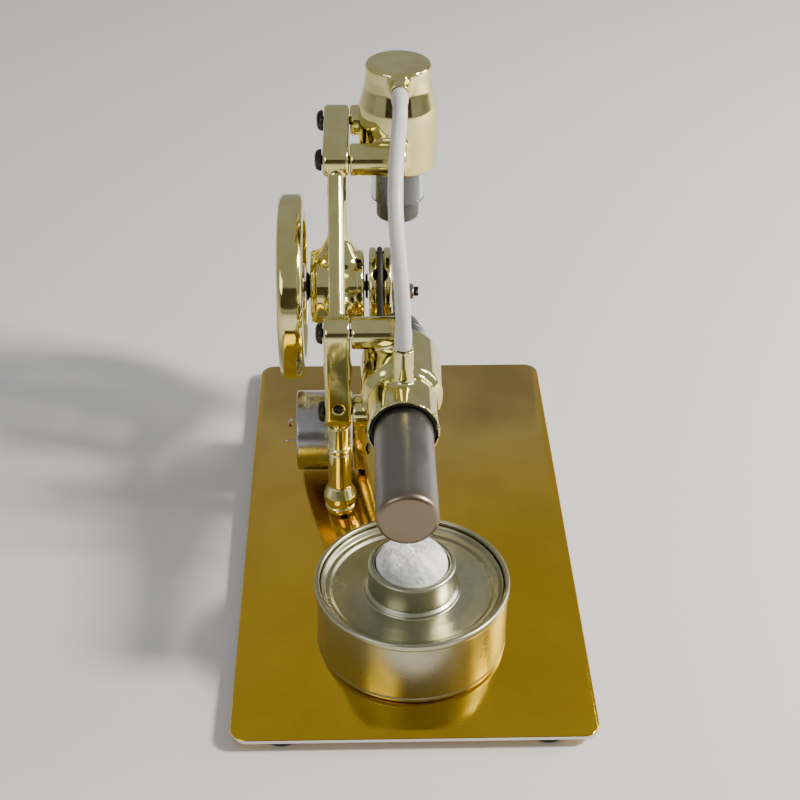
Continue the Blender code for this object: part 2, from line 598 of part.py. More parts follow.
def rod_outline():
    """A flat link along +Z: small end at the origin, big end at the rod's length, with both bores."""
    pinch_small = math.degrees(math.asin(ROD_HALF_WIDTH / SMALL_END_RADIUS))
    pinch_big = math.degrees(math.asin(ROD_HALF_WIDTH / BIG_END_RADIUS))
    small = arc((0, 0), SMALL_END_RADIUS, 90 + pinch_small, 450 - pinch_small, 10)
    big = arc((0, ROD_LENGTH), BIG_END_RADIUS, 270 + pinch_big, 630 - pinch_big, 12)
    small_bore = arc((0, 0), WRIST_PIN_RADIUS + CLEARANCE, 0, 330, 11)
    big_bore = arc((0, ROD_LENGTH), CRANK_PIN_RADIUS + CLEARANCE, 0, 330, 11)
    return [small + big, small_bore, big_bore]


def connecting_rod(name, x, wrist_y, wrist_z):
    """A rod from its wrist pin to the crank pin, turned about the wrist pin to where it lies at rest."""
    made = outline_solid(name, rod_outline(), ROD_THICKNESS, (0, 0, 0), STEEL)
    swing = math.atan2(CRANK_Y + PIN_Y - wrist_y, CRANK_Z + PIN_Z - wrist_z)
    basis = made.matrix_world.copy()
    made.data.transform(basis)
    made.rotation_euler = (-swing, 0, 0)
    made.location = (x, wrist_y, wrist_z)


def make_rods():
    connecting_rod("hot_connecting_rod", HOT_ROD_X, CRANK_Y - HOT_WRIST, CRANK_Z)
    connecting_rod("cold_connecting_rod", COLD_ROD_X, CRANK_Y, CRANK_Z + COLD_WRIST)
    y, z = CRANK_Y + PIN_Y, CRANK_Z + PIN_Z
    outside = COLD_ROD_X + ROD_THICKNESS / 2 + CLEARANCE
    bore = CRANK_PIN_RADIUS + CLEARANCE
    corners = [(2.7 * MM, WASHER_THICKNESS), (2.7 * MM, 0), (bore, 0), (bore, WASHER_THICKNESS)]
    turned("pin_washer", corners, STEEL, (outside, y, z), "+X", 16, True)
    nut_at = outside + WASHER_THICKNESS + CLEARANCE
    nut = rod("pin_nut", 2.75 * MM, (nut_at, y, z), NUT_THICKNESS, "+X", ZINC, 6)
    cut(nut, rod("nut_bore", bore, (nut_at - MM, y, z), NUT_THICKNESS + 2 * MM, "+X", steps=14))
    start = COLD_ROD_X - ROD_THICKNESS / 2
    reach = nut_at + NUT_THICKNESS + PIN_TIP - start
    screw = rod("pin_screw", CRANK_PIN_RADIUS, (start, y, z), reach, "+X", DARK_STEEL, 14, 0.2 * MM)
    long, wide = 2 * MM, 0.3 * MM
    slot = outline_solid("pin_slot", [[(-long, -wide), (long, -wide), (long, wide), (-long, wide)]],
                         1.4 * MM, (start + reach, y, z))
    cut(screw, slot)


def along(distance, hot):
    """The point of a cylinder's axis at a distance from the crankshaft line."""
    if hot:
        return CYLINDER_X, CRANK_Y - distance, CRANK_Z
    return CYLINDER_X, CRANK_Y, CRANK_Z + distance


def make_piston(side, wrist, hot):
    turn = "-Y" if hot else "+Z"
    depth = PISTON_BORE_DEPTH
    corners = [(0, PISTON_CROWN), (PISTON_RADIUS, PISTON_CROWN, 0.4 * MM),
               (PISTON_RADIUS, -PISTON_SKIRT, 0.4 * MM),
               (PISTON_BORE_RADIUS, -PISTON_SKIRT, 0.3 * MM), (PISTON_BORE_RADIUS, depth - PISTON_SKIRT, MM),
               (0, depth - PISTON_SKIRT)]
    piston = turned(f"{side}_piston", corners, GRAPHITE, along(wrist, hot), turn, 18)
    x, y, z = along(wrist, hot)
    half = PISTON_RADIUS - CLEARANCE
    hole, start = WRIST_PIN_RADIUS + CLEARANCE, (x - 2 * half, y, z)
    cut(piston, rod(f"{side}_pin_hole", hole, start, 4 * half, "+X", steps=12))
    rod(f"{side}_wrist_pin", WRIST_PIN_RADIUS, (x - half, y, z), 2 * half, "+X", STEEL, 12)


def make_glass(side, hot):
    inner = GLASS_RADIUS - GLASS_WALL
    length = GLASS_END - GLASS_START
    corners = [(GLASS_RADIUS, length, 0.3 * MM), (GLASS_RADIUS, 0, 0.4 * MM),
               (inner, 0, 0.4 * MM), (inner, length)]
    axis = "-Y" if hot else "+Z"
    turned(f"{side}_glass_cylinder", corners, GLASS, along(GLASS_START, hot), axis, 20, True)


def lug(name, y, z):
    """A round lug from the T-bar to the cylinder's middle plane, drilled for its screw."""
    start = BAR_RIGHT + CLEARANCE
    return rod(name, LUG_RADIUS, (start, y, z), CYLINDER_X + 2 * MM - start, "+X", steps=14)


def drill_lugs(casting, places):
    for place, (y, z) in enumerate(places):
        depth = SCREW_REACH - BAR_WIDTH
        cut(casting, rod(f"{casting.name}_tap_{place}", SCREW_RADIUS + CLEARANCE, (BAR_RIGHT - MM, y, z),
                         depth + MM, "+X", steps=10))


def boss(name, at, turn, reach):
    """A round hose boss with a dished mouth, measured from the cylinder's axis."""
    corners = [(0, reach - 0.8 * MM), (1.9 * MM, reach - 0.8 * MM), (BOSS_RADIUS - 0.5 * MM, reach),
               (BOSS_RADIUS, reach, 0.3 * MM), (BOSS_RADIUS, CHAMBER_RADIUS + MM), (0, CHAMBER_RADIUS + MM)]
    return turned(name, corners, None, at, turn, 14)


def make_stem(side, at, turn, reach):
    """The steel stem in a boss, which the hose is pushed over."""
    start, end = reach - STEM_SEAT, reach + STEM_LENGTH
    corners = [(STEM_RADIUS, end, 0.25 * MM), (STEM_RADIUS, start), (STEM_BORE, start), (STEM_BORE, end)]
    turned(f"{side}_hose_stem", corners, STEEL, at, turn, 12, True)


def port(name, at, turn, reach):
    """The cutter for a boss's air passage, stepped where the stem sits."""
    seat, start = STEM_RADIUS + CLEARANCE, reach - STEM_SEAT - CLEARANCE
    corners = [(0, reach + MM), (seat, reach + MM), (seat, start), (0.8 * MM, start), (0.8 * MM, 0), (0, 0)]
    return turned(name, corners, None, at, turn, 12)


def make_cold_casting():
    seat = GLASS_RADIUS + CLEARANCE
    corners = [(0, CAP_END), (CAP_RADIUS, CAP_END, 0.9 * MM), (CAP_RADIUS, CAP_START, 3 * MM),
               (SLEEVE_RADIUS, COLD_SHOULDER, 6 * MM), (SLEEVE_RADIUS, SLEEVE_START, 0.6 * MM),
               (seat, SLEEVE_START),
               (seat, GLASS_END + CLEARANCE), (CHAMBER_RADIUS, GLASS_END + CLEARANCE),
               (CHAMBER_RADIUS, CAP_END - CAP_ROOF), (0, CAP_END - CAP_ROOF)]
    casting = turned("cold_casting", corners, GOLD, along(0, False), "+Z", 24)
    places = lug_places()[:2]
    lugs = [lug(f"cold_lug_{i}", y, z) for i, (y, z) in enumerate(places)]
    reach = CAP_RADIUS + COLD_BOSS_LENGTH
    at = along(COLD_PORT, False)
    join(casting, boss("cold_boss", at, "-Y", reach), *lugs)
    cut(casting, port("cold_port", at, "-Y", reach))
    drill_lugs(casting, places)
    make_stem("cold", at, "-Y", reach)
    smooth(casting)


def make_hot_casting():
    seat, tube_seat = GLASS_RADIUS + CLEARANCE, TUBE_RADIUS + CLEARANCE
    seal_seat = tube_seat + SEAL_DEPTH
    lip = COLLAR_END - SEAL_WIDTH - 2 * CLEARANCE
    corners = [(COLLAR_RADIUS, COLLAR_END, 0.35 * MM), (COLLAR_RADIUS, HOT_SHOULDER + 4 * MM, 2 * MM),
               (COLLAR_RADIUS - 0.5 * MM, HOT_SHOULDER + 1.6 * MM, 0.8 * MM),
               (SLEEVE_RADIUS, HOT_SHOULDER, 1.6 * MM),
               (SLEEVE_RADIUS, SLEEVE_START, 0.6 * MM), (seat, SLEEVE_START), (seat, GLASS_END + CLEARANCE),
               (CHAMBER_RADIUS, GLASS_END + CLEARANCE), (CHAMBER_RADIUS, TUBE_START - CLEARANCE),
               (tube_seat, TUBE_START - CLEARANCE), (tube_seat, lip), (seal_seat, lip),
               (seal_seat, COLLAR_END)]
    casting = turned("hot_casting", corners, GOLD, along(0, True), "-Y", 24, True)
    places = lug_places()[2:]
    lugs = [lug(f"hot_lug_{i}", y, z) for i, (y, z) in enumerate(places)]
    reach = COLLAR_RADIUS + HOT_BOSS_LENGTH
    at = along(HOT_PORT, True)
    join(casting, boss("hot_boss", at, "+Z", reach), *lugs)
    cut(casting, port("hot_port", at, "+Z", reach))
    drill_lugs(casting, places)
    make_stem("hot", at, "+Z", reach)
    smooth(casting)
    # The seal lies in the collar's mouth, round the hot tube.
    inner, outer = TUBE_RADIUS + CLEARANCE, seal_seat - CLEARANCE
    corners = [(outer, SEAL_WIDTH), (outer, 0), (inner, 0), (inner, SEAL_WIDTH)]
    turned("collar_seal", corners, RUBBER, along(lip + CLEARANCE, True), "-Y", 28, True)


def make_hot_tube():
    length, inner = TUBE_END - TUBE_START, TUBE_RADIUS - TUBE_WALL
    corners = [(0, length), (TUBE_RADIUS, length, 1.1 * MM), (TUBE_RADIUS, 0), (inner, 0),
               (inner, length - TUBE_WALL, 0.6 * MM), (0, length - TUBE_WALL)]
    turned("hot_tube", corners, STEEL, along(TUBE_START, True), "-Y", 28)
    start = HOT_WRIST + PISTON_CROWN + CLEARANCE
    corners = [(0, DISPLACER_LENGTH), (DISPLACER_RADIUS, DISPLACER_LENGTH, 0.8 * MM), (DISPLACER_RADIUS, 0),
               (DISPLACER_RADIUS - 0.8 * MM, 0), (DISPLACER_RADIUS - 0.8 * MM, DISPLACER_LENGTH - MM),
               (0, DISPLACER_LENGTH - MM)]
    turned("displacer", corners, STEEL, along(start, True), "-Y", 20)


def hose_route():
    """Out of the cold boss, a quarter of an ellipse bowed to the left, and down into the hot boss."""
    lead = 5.4 * MM
    top_y, top_z = CRANK_Y - CAP_RADIUS - COLD_BOSS_LENGTH, CRANK_Z + COLD_PORT
    low_y, low_z = CRANK_Y - HOT_PORT, CRANK_Z + COLLAR_RADIUS + HOT_BOSS_LENGTH
    gap = 0.2 * MM
    route = [(CYLINDER_X, top_y - gap, top_z), (CYLINDER_X, top_y - lead / 2, top_z)]
    across, down = top_y - lead - low_y, top_z - low_z - lead
    steps = 15
    for i in range(steps + 1):
        angle = math.pi / 2 * i / steps
        bow = HOSE_BOW * math.sin(2 * angle) ** 2
        y = top_y - lead - across * math.sin(angle)
        route.append((CYLINDER_X + bow, y, low_z + lead + down * math.cos(angle)))
    route += [(CYLINDER_X, low_y, low_z + lead / 2), (CYLINDER_X, low_y, low_z + gap)]
    return route


def hose_solid(name, radius, route, finish=None):
    curve = bpy.data.curves.new(name, "CURVE")
    curve.dimensions = "3D"
    curve.bevel_depth = radius
    curve.bevel_resolution = 2
    curve.use_fill_caps = True
    spline = curve.splines.new("POLY")
    spline.points.add(len(route) - 1)
    for point, place in zip(spline.points, route):
        point.co = (*place, 1)
    return meshed(name, curve, (0, 0, 0), finish, (0, 0, 0))


def make_hose():
    route = hose_route()
    over = 2 * MM
    first, last = Vector(route[0]), Vector(route[-1])
    through = [tuple(first + Vector((0, over, 0))), *route[1:-1], tuple(last - Vector((0, 0, over)))]
    hose = hose_solid("air_hose", HOSE_RADIUS, route, SILICONE)
    cut(hose, hose_solid("hose_bore", HOSE_BORE, through))
    smooth(hose, 60)


def make_motor():
    left = MOUNT_RIGHT - MOUNT_THICKNESS - CLEARANCE - MOTOR_LENGTH
    line = (left, MOTOR_Y, MOTOR_Z)
    bore, inner = MOTOR_SHAFT_RADIUS + CLEARANCE, MOTOR_RADIUS - MOTOR_WALL
    boss_end = MOTOR_LENGTH + CLEARANCE + 1.6 * MM
    corners = [(MOTOR_BOSS_RADIUS, boss_end, 0.2 * MM), (MOTOR_BOSS_RADIUS, MOTOR_LENGTH),
               (MOTOR_RADIUS, MOTOR_LENGTH, 1.2 * MM), (MOTOR_RADIUS, 0, 0.7 * MM), (inner, 0),
               (inner, MOTOR_LENGTH - MOTOR_WALL), (bore, MOTOR_LENGTH - MOTOR_WALL), (bore, boss_end)]
    can = turned("motor_can", corners, ZINC, line, "+X", 24, True)
    for place, (y, z) in enumerate(motor_face_holes()):
        start, hole = (left + MOTOR_LENGTH + MM, y, z), MOTOR_SCREW_RADIUS + CLEARANCE
        cut(can, rod(f"motor_face_hole_{place}", hole, start, 3 * MM, "-X", steps=12))
    depth, edge = END_CAP_THICKNESS, inner - CLEARANCE
    cap = turned("motor_end_cap", [(edge, depth), (edge, 0.4 * MM, 0.3 * MM), (edge - 2 * MM, 0), (bore, 0),
                                   (bore, depth)], BLACK, (left, MOTOR_Y, MOTOR_Z), "+X", 18, True)
    for side, offset in (("front", -TERMINAL_SPREAD), ("rear", TERMINAL_SPREAD)):
        at = (left + depth, MOTOR_Y + offset, MOTOR_Z)
        start, hole = (at[0] + MM, *at[1:]), TERMINAL_RADIUS + CLEARANCE
        cut(cap, rod(f"terminal_hole_{side}", hole, start, depth + 2 * MM, "-X", steps=12))
        length = depth + TERMINAL_LENGTH
        rod(f"motor_terminal_{side}", TERMINAL_RADIUS, at, length, "-X", ZINC, 12, 0.15 * MM)
    core = left + depth + MM
    length = MOTOR_LENGTH - depth - 6 * MM
    corners = [(inner - CLEARANCE, length), (inner - CLEARANCE, 0), (inner - 2.6 * MM, 0),
               (inner - 2.6 * MM, length)]
    turned("motor_magnet", corners, DARK_STEEL, (core, MOTOR_Y, MOTOR_Z), "+X", 16, True)
    corners = [(inner - 3.2 * MM, length), (inner - 3.2 * MM, 0), (bore, 0), (bore, length)]
    turned("motor_armature", corners, STEEL, (core, MOTOR_Y, MOTOR_Z), "+X", 14, True)
    start, end = left + CLEARANCE, PULLEY_X + MOTOR_PULLEY_WIDTH / 2 + 1.2 * MM
    at = (start, MOTOR_Y, MOTOR_Z)
    rod("motor_shaft", MOTOR_SHAFT_RADIUS, at, end - start, "+X", STEEL, 14, 0.2 * MM)
    corners = groove_corners(MOTOR_PULLEY_RADIUS, MOTOR_PULLEY_WIDTH / 2, bore)
    turned("motor_pulley", corners, GOLD, (PULLEY_X, MOTOR_Y, MOTOR_Z), "+X", 16, True)


def motor_face_holes():
    return [(MOTOR_Y, MOTOR_Z + MOUNT_HOLE_OFFSET), (MOTOR_Y, MOTOR_Z - MOUNT_HOLE_OFFSET)]


def make_motor_mount():
    """The upright that the motor's face is screwed to, round at the top and square on the deck."""
    top = MOTOR_HEIGHT + MOUNT_HOLE_OFFSET
    foot = CLEARANCE
    outline = ([(-MOUNT_HALF_WIDTH, foot), (MOUNT_HALF_WIDTH, foot)]
               + arc((0, top), MOUNT_HALF_WIDTH, 0, 180, 10))
    middle = MOUNT_RIGHT - MOUNT_THICKNESS / 2
    at = (middle, MOTOR_Y, DECK)
    mount = outline_solid("motor_mount", [outline], MOUNT_THICKNESS, at, GOLD, 0.6 * MM)
    through = MOUNT_THICKNESS + 2 * MM
    start = (MOUNT_RIGHT + MM, MOTOR_Y, MOTOR_Z)
    cut(mount, rod("mount_boss_hole", MOTOR_BOSS_RADIUS + CLEARANCE, start, through, "-X", steps=16))
    reach = MOUNT_THICKNESS + 2.4 * MM
    for place, (y, z) in enumerate(motor_face_holes()):
        start, hole = (MOUNT_RIGHT + MM, y, z), MOTOR_SCREW_RADIUS + CLEARANCE
        cut(mount, rod(f"mount_face_hole_{place}", hole, start, through, "-X", steps=12))
        corners = [(0, 1.1 * MM), (1.9 * MM, 1.1 * MM, 0.5 * MM), (1.9 * MM, 0), (MOTOR_SCREW_RADIUS, 0),
                   (MOTOR_SCREW_RADIUS, -reach), (0, -reach)]
        name = "motor_screw_upper" if place == 0 else "motor_screw_lower"
        turned(name, corners, DARK_STEEL, (MOUNT_RIGHT + CLEARANCE, y, z), "+X", 12)
    for place, (x, y, radius) in enumerate(fixing_places()[1:]):
        name = "mount_screw_front" if place == 0 else "mount_screw_rear"
        cut(mount, rod(f"mount_tap_{place}", radius + CLEARANCE, (x, y, DECK - MM), 5 * MM, "+Z", steps=12))
        fixing_screw(name, x, y, radius, PLATE_THICKNESS + 3.4 * MM)
    smooth(mount)


def make_belt():
    """A round belt: the two outer tangents of the crank pulley and the motor pulley, and their wraps."""
    big, small = belt_radius(PULLEY_RADIUS), belt_radius(MOTOR_PULLEY_RADIUS)
    dy, dz = CRANK_Y - MOTOR_Y, CRANK_Z - MOTOR_Z
    line = math.degrees(math.atan2(dz, dy))
    lean = math.degrees(math.acos((big - small) / math.hypot(dy, dz)))
    over = arc((CRANK_Y, CRANK_Z), big, line - 180 + lean, line + 180 - lean, 22)
    under = arc((MOTOR_Y, MOTOR_Z), small, line + 180 - lean, line + 180 + lean, 9)
    curve = bpy.data.curves.new("drive_belt", "CURVE")
    curve.dimensions = "3D"
    curve.bevel_depth = BELT_RADIUS
    curve.bevel_resolution = 2
    spline = curve.splines.new("POLY")
    loop = over + under
    spline.points.add(len(loop) - 1)
    for point, (y, z) in zip(spline.points, loop):
        point.co = (PULLEY_X, y, z, 1)
    spline.use_cyclic_u = True
    curve.materials.append(RUBBER)
    PARTS.objects.link(bpy.data.objects.new("drive_belt", curve))


def make_burner_can():
    inner, rim = CAN_RADIUS - CAN_WALL, CAN_RADIUS + RIM_PROUD
    corners = [(0, CAN_WALL), (inner, CAN_WALL, 1.2 * MM), (inner, CAN_HEIGHT - RIM_HEIGHT),
               (inner + 0.3 * MM, CAN_HEIGHT, 0.4 * MM), (rim, CAN_HEIGHT, 0.6 * MM),
               (rim, CAN_HEIGHT - RIM_HEIGHT, 0.5 * MM), (CAN_RADIUS, CAN_HEIGHT - RIM_HEIGHT - 0.5 * MM),
               (CAN_RADIUS, 1.6 * MM, 0.8 * MM), (CAN_RADIUS - 0.9 * MM, 0, 0.4 * MM), (0, 0)]
    turned("burner_can", corners, TINPLATE, (0, BURNER_Y, DECK + CLEARANCE), "+Z", 32)


def make_lid_and_wick():
    at = (0, BURNER_Y, DECK + CLEARANCE)
    wall, edge = 0.7 * MM, CAN_RADIUS - CAN_WALL - CLEARANCE
    top = CAN_HEIGHT - LID_DROP
    neck_inner, neck_top = NECK_RADIUS - wall - 0.4 * MM, top + NECK_HEIGHT
    ring = 17 * MM
    corners = [(NECK_RADIUS - 0.5 * MM, neck_top), (NECK_RADIUS, neck_top - 0.7 * MM),
               (NECK_RADIUS, top + 1.4 * MM), (NECK_RADIUS + 1.4 * MM, top), (ring, top),
               (ring + 0.6 * MM, top + 0.7 * MM), (edge - 1.2 * MM, top + 0.7 * MM),
               (edge - 0.4 * MM, top + 2.2 * MM),
               (edge, top + 2.2 * MM), (edge, top), (ring + 0.8 * MM, top), (ring, top - wall),
               (neck_inner, top - wall), (neck_inner, neck_top)]
    turned("burner_lid", corners, TINPLATE, at, "+Z", 32, True)
    radius = neck_inner - CLEARANCE
    tip = neck_top + WICK_RISE
    corners = [(0, tip), (radius * 0.45, tip - 0.8 * MM), (radius * 0.8, tip - 3.2 * MM),
               (radius, tip - 6.6 * MM),
               (radius, CAN_WALL + 2 * MM, MM), (0, CAN_WALL + 2 * MM)]
    turned("wick", corners, COTTON, at, "+Z", 18)


make_base()
make_post()
make_frame()
make_cylinder_screws()
make_bearings()
make_shaft_parts()
make_flywheel()
make_crank_pulley()
make_rods()
make_piston("hot", HOT_WRIST, True)
make_piston("cold", COLD_WRIST, False)
make_glass("hot", True)
make_glass("cold", False)
make_cold_casting()
make_hot_casting()
make_hot_tube()
make_hose()
make_motor()
make_motor_mount()
make_belt()
make_burner_can()
make_lid_and_wick()
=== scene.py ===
"""Looks of a hot-air engine with a belt-driven generator and a spirit burner, built round its CAD frame.

Sizes are in millimetres and are worked out from the frame's own boxes. The crankshaft runs along X.
"""
import json
import math

import bmesh
import bpy
import numpy as np
from mathutils import Matrix, Vector

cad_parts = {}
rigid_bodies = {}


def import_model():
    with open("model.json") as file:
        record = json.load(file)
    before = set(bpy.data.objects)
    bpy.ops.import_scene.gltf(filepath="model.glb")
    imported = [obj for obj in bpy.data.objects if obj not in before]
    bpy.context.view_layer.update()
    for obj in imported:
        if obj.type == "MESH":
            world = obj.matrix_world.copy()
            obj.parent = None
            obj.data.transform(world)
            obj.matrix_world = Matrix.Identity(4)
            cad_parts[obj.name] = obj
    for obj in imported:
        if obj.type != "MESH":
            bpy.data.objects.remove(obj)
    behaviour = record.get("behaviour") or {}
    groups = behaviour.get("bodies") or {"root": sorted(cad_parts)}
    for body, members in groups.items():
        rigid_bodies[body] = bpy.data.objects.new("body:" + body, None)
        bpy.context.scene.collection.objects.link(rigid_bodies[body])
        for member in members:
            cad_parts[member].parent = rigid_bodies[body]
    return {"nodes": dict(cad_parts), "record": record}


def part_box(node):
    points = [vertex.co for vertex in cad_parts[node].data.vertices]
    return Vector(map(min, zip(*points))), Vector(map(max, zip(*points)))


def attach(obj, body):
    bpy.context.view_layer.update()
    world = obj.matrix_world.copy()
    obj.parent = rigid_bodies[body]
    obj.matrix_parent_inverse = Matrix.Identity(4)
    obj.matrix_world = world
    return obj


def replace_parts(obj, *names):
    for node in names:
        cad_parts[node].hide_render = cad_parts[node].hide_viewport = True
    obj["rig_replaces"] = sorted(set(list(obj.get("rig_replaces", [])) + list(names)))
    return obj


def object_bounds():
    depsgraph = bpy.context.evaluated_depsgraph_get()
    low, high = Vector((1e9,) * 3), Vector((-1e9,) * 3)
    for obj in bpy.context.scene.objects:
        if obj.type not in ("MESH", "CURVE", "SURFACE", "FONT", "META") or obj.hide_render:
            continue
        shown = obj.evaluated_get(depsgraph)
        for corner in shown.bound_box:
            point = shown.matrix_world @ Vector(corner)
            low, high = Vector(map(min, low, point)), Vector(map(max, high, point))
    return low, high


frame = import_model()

MM = 0.001
CAD_BOX = [list(corner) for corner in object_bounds()]
X_AXIS, Y_AXIS, Z_AXIS = np.eye(3)
BODY_OF = {node: body for body, nodes in frame["record"]["behaviour"]["bodies"].items() for node in nodes}
SLOT_OF = {part["node"]: part["material_slot"] for part in frame["record"]["subparts"]}


# ---------------------------------------------------------------- places, read from the frame

def box(node):
    """A CAD node's lowest and highest corners, in millimetres."""
    low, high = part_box(node)
    return np.array(low) / MM, np.array(high) / MM


def centre(node):
    """The middle of a CAD node's box."""
    return sum(box(node)) / 2


def half_size(node):
    """Half of a CAD node's length along X, Y and Z."""
    low, high = box(node)
    return (high - low) / 2


DECK = box("base_plate")[1][2]
CRANK = centre("crankshaft")
CYLINDER_X = centre("cold_glass_cylinder")[0]
COLD_LINE = np.array([CYLINDER_X, CRANK[1], CRANK[2]])
FRAME_X = centre("frame_post")[0]
GLASS_START = box("cold_glass_cylinder")[0][2] - CRANK[2]
GLASS_END = box("cold_glass_cylinder")[1][2] - CRANK[2]
GLASS_RADIUS = box("cold_glass_cylinder")[1][0] - CYLINDER_X
SLEEVE_START = box("cold_casting")[0][2] - CRANK[2]
CAP_END = box("cold_casting")[1][2] - CRANK[2]
COLLAR_END = CRANK[1] - box("hot_casting")[0][1]
TUBE_END = CRANK[1] - box("hot_tube")[0][1]
TUBE_RADIUS = box("hot_tube")[1][2] - CRANK[2]
BAR_SPAN = 13.25  # from the middle of a T-bar to each of its screws
BAR_RADIUS = 4.6
SLEEVE_RADIUS = box("cold_casting")[1][0] - CYLINDER_X
TOP_REACH = box("frame_casting")[1][2] - BAR_RADIUS - CRANK[2]
FRONT_REACH = CRANK[1] - box("frame_casting")[0][1] - BAR_RADIUS
POST_BULB = half_size("frame_post")[0]
PIN = centre("crank_pin")
PIN_ANGLE = math.atan2(PIN[2] - CRANK[2], PIN[1] - CRANK[1])
GAP = 0.3
GLASS_WALL = 1.4
CHAMBER_RADIUS = 6.8
CAP_ROOF = 2.2
COLD_PORT = 69.4  # hose boss, from the crankshaft line
HOT_PORT = 66
STEM_OUT = 5  # of a hose stem, past its boss
COLD_BOSS_MOUTH = box("cold_hose_stem")[0][1] + STEM_OUT
HOT_BOSS_MOUTH = box("hot_hose_stem")[1][2] - STEM_OUT
SCREW_HOLE = 1.55
SCREW_REACH = 14.5
SHAFT_HOLE = 1.8
BELT_RADIUS = 0.9
GROOVE_DEPTH = 0.81  # from a pulley's edge to the belt's middle
SHEET = 0.8  # of the can, the motor's case and the hot tube


# ---------------------------------------------------------------- meshes from formulas

def new_piece(name, points, faces, node, sharp=35):
    """A mesh from points in millimetres, smooth but for its sharp edges, riding where its CAD node rides."""
    mesh = bpy.data.meshes.new(name)
    mesh.from_pydata((np.asarray(points, float) * MM).tolist(), [], [list(face) for face in faces])
    mesh.validate()
    mesh.shade_smooth()
    mesh.set_sharp_from_angle(angle=math.radians(sharp))
    piece = bpy.data.objects.new(name, mesh)
    bpy.context.scene.collection.objects.link(piece)
    return dress(piece, node)


def dress(piece, node, *others):
    """Gives a piece its body, its material and the CAD nodes that it stands for."""
    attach(piece, BODY_OF[node])
    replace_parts(piece, node, *others)
    piece.data.materials.clear()
    piece.data.materials.append(FINISHES[SLOT_OF[node]])
    return piece


def grid_faces(rows, columns, closed_rows, closed_columns):
    """Quads over a grid of rows by columns, joined round where it is closed."""
    i = np.arange(rows if closed_rows else rows - 1)
    j = np.arange(columns if closed_columns else columns - 1)
    i, j = np.meshgrid(i, j, indexing="ij")
    after_i, after_j = (i + 1) % rows, (j + 1) % columns
    quads = np.stack([i * columns + j, i * columns + after_j, after_i * columns + after_j,
                      after_i * columns + j], -1)
    return quads.reshape(-1, 4)


def rounded(corners, closed=False, arc_steps=6):
    """The outline through corners (x, y) or (x, y, radius), with each radius drawn as an arc."""
    outline = []
    for i, corner in enumerate(corners):
        here = Vector(corner[:2])
        if len(corner) == 2 or corner[2] == 0 or (not closed and i in (0, len(corners) - 1)):
            outline.append(tuple(here))
            continue
        before = Vector(corners[i - 1][:2]) - here
        after = Vector(corners[(i + 1) % len(corners)][:2]) - here
        half = before.angle(after) / 2
        back = min(corner[2] / math.tan(half), before.length / 2.05, after.length / 2.05)
        radius = back * math.tan(half)
        middle = here + (before.normalized() + after.normalized()).normalized() * radius / math.sin(half)
        start = here + before.normalized() * back - middle
        end = here + after.normalized() * back - middle
        sweep = start.angle_signed(end)
        for step in range(arc_steps + 1):
            angle = -sweep * step / arc_steps
            cos, sin = math.cos(angle), math.sin(angle)
            outline.append((middle.x + start.x * cos - start.y * sin,
                            middle.y + start.x * sin + start.y * cos))
    return np.array(outline)


def across(axis):
    """Two directions at right angles to an axis, which follow it by the right-hand rule."""
    first = np.roll(axis, 1) * np.sign(axis.sum())
    return first, np.cross(axis, first)


def turned(node, corners, at, axis, closed=False, steps=96, arc_steps=6, sharp=35, name=None):
    """A lathe surface: (radius, height) down its outer side, turned about the axis through a place."""
    outline = rounded(corners, closed, arc_steps)
    first, second = across(axis)
    angle = 2 * math.pi * np.arange(steps) / steps
    spokes = np.cos(angle)[:, None] * first + np.sin(angle)[:, None] * second
    body = outline if closed else outline[1:-1]
    points = at + body[:, 1, None, None] * axis + body[:, 0, None, None] * spokes[None]
    faces = grid_faces(len(body), steps, closed, True)[:, ::-1]
    points = points.reshape(-1, 3)
    faces = faces.tolist()
    if not closed:
        top, bottom = len(points), len(points) + 1
        points = np.vstack([points, at + outline[0, 1] * axis, at + outline[-1, 1] * axis])
        last = (len(body) - 1) * steps
        for j in range(steps):
            after = (j + 1) % steps
            faces.append([top, j, after])
            faces.append([bottom, last + after, last + j])
    return new_piece(name or "look_" + node, points, faces, node, sharp)


def swept(node, route, radii, sides=32, closed=False, name=None, up=X_AXIS, bore=None):
    """A round bar along a route, with its radius at each point, and a bore or capped ends."""
    route = np.asarray(route, float)
    if closed:
        tangent = np.roll(route, -1, 0) - np.roll(route, 1, 0)
    else:
        tangent = np.gradient(route, axis=0)
    tangent /= np.linalg.norm(tangent, axis=1)[:, None]
    side = np.cross(tangent, up)
    side /= np.linalg.norm(side, axis=1)[:, None]
    other = np.cross(tangent, side)
    angle = 2 * math.pi * np.arange(sides) / sides
    ring = (np.cos(angle)[None, :, None] * side[:, None] + np.sin(angle)[None, :, None] * other[:, None])
    if bore is not None:
        route, ring = np.vstack([route, route[::-1]]), np.concatenate([ring, ring[::-1]])
        radii = np.concatenate([radii, bore[::-1]])
    points = (route[:, None] + np.asarray(radii)[:, None, None] * ring).reshape(-1, 3)
    faces = grid_faces(len(route), sides, closed or bore is not None, True)[:, ::-1 if closed else 1].tolist()
    if not closed and bore is None:
        faces.append(list(range(sides)))
        faces.append(list(range((len(route) - 1) * sides, len(route) * sides))[::-1])
    return new_piece(name or "look_" + node, points, faces, node, 50)


# ---------------------------------------------------------------- cast shapes from distance formulas

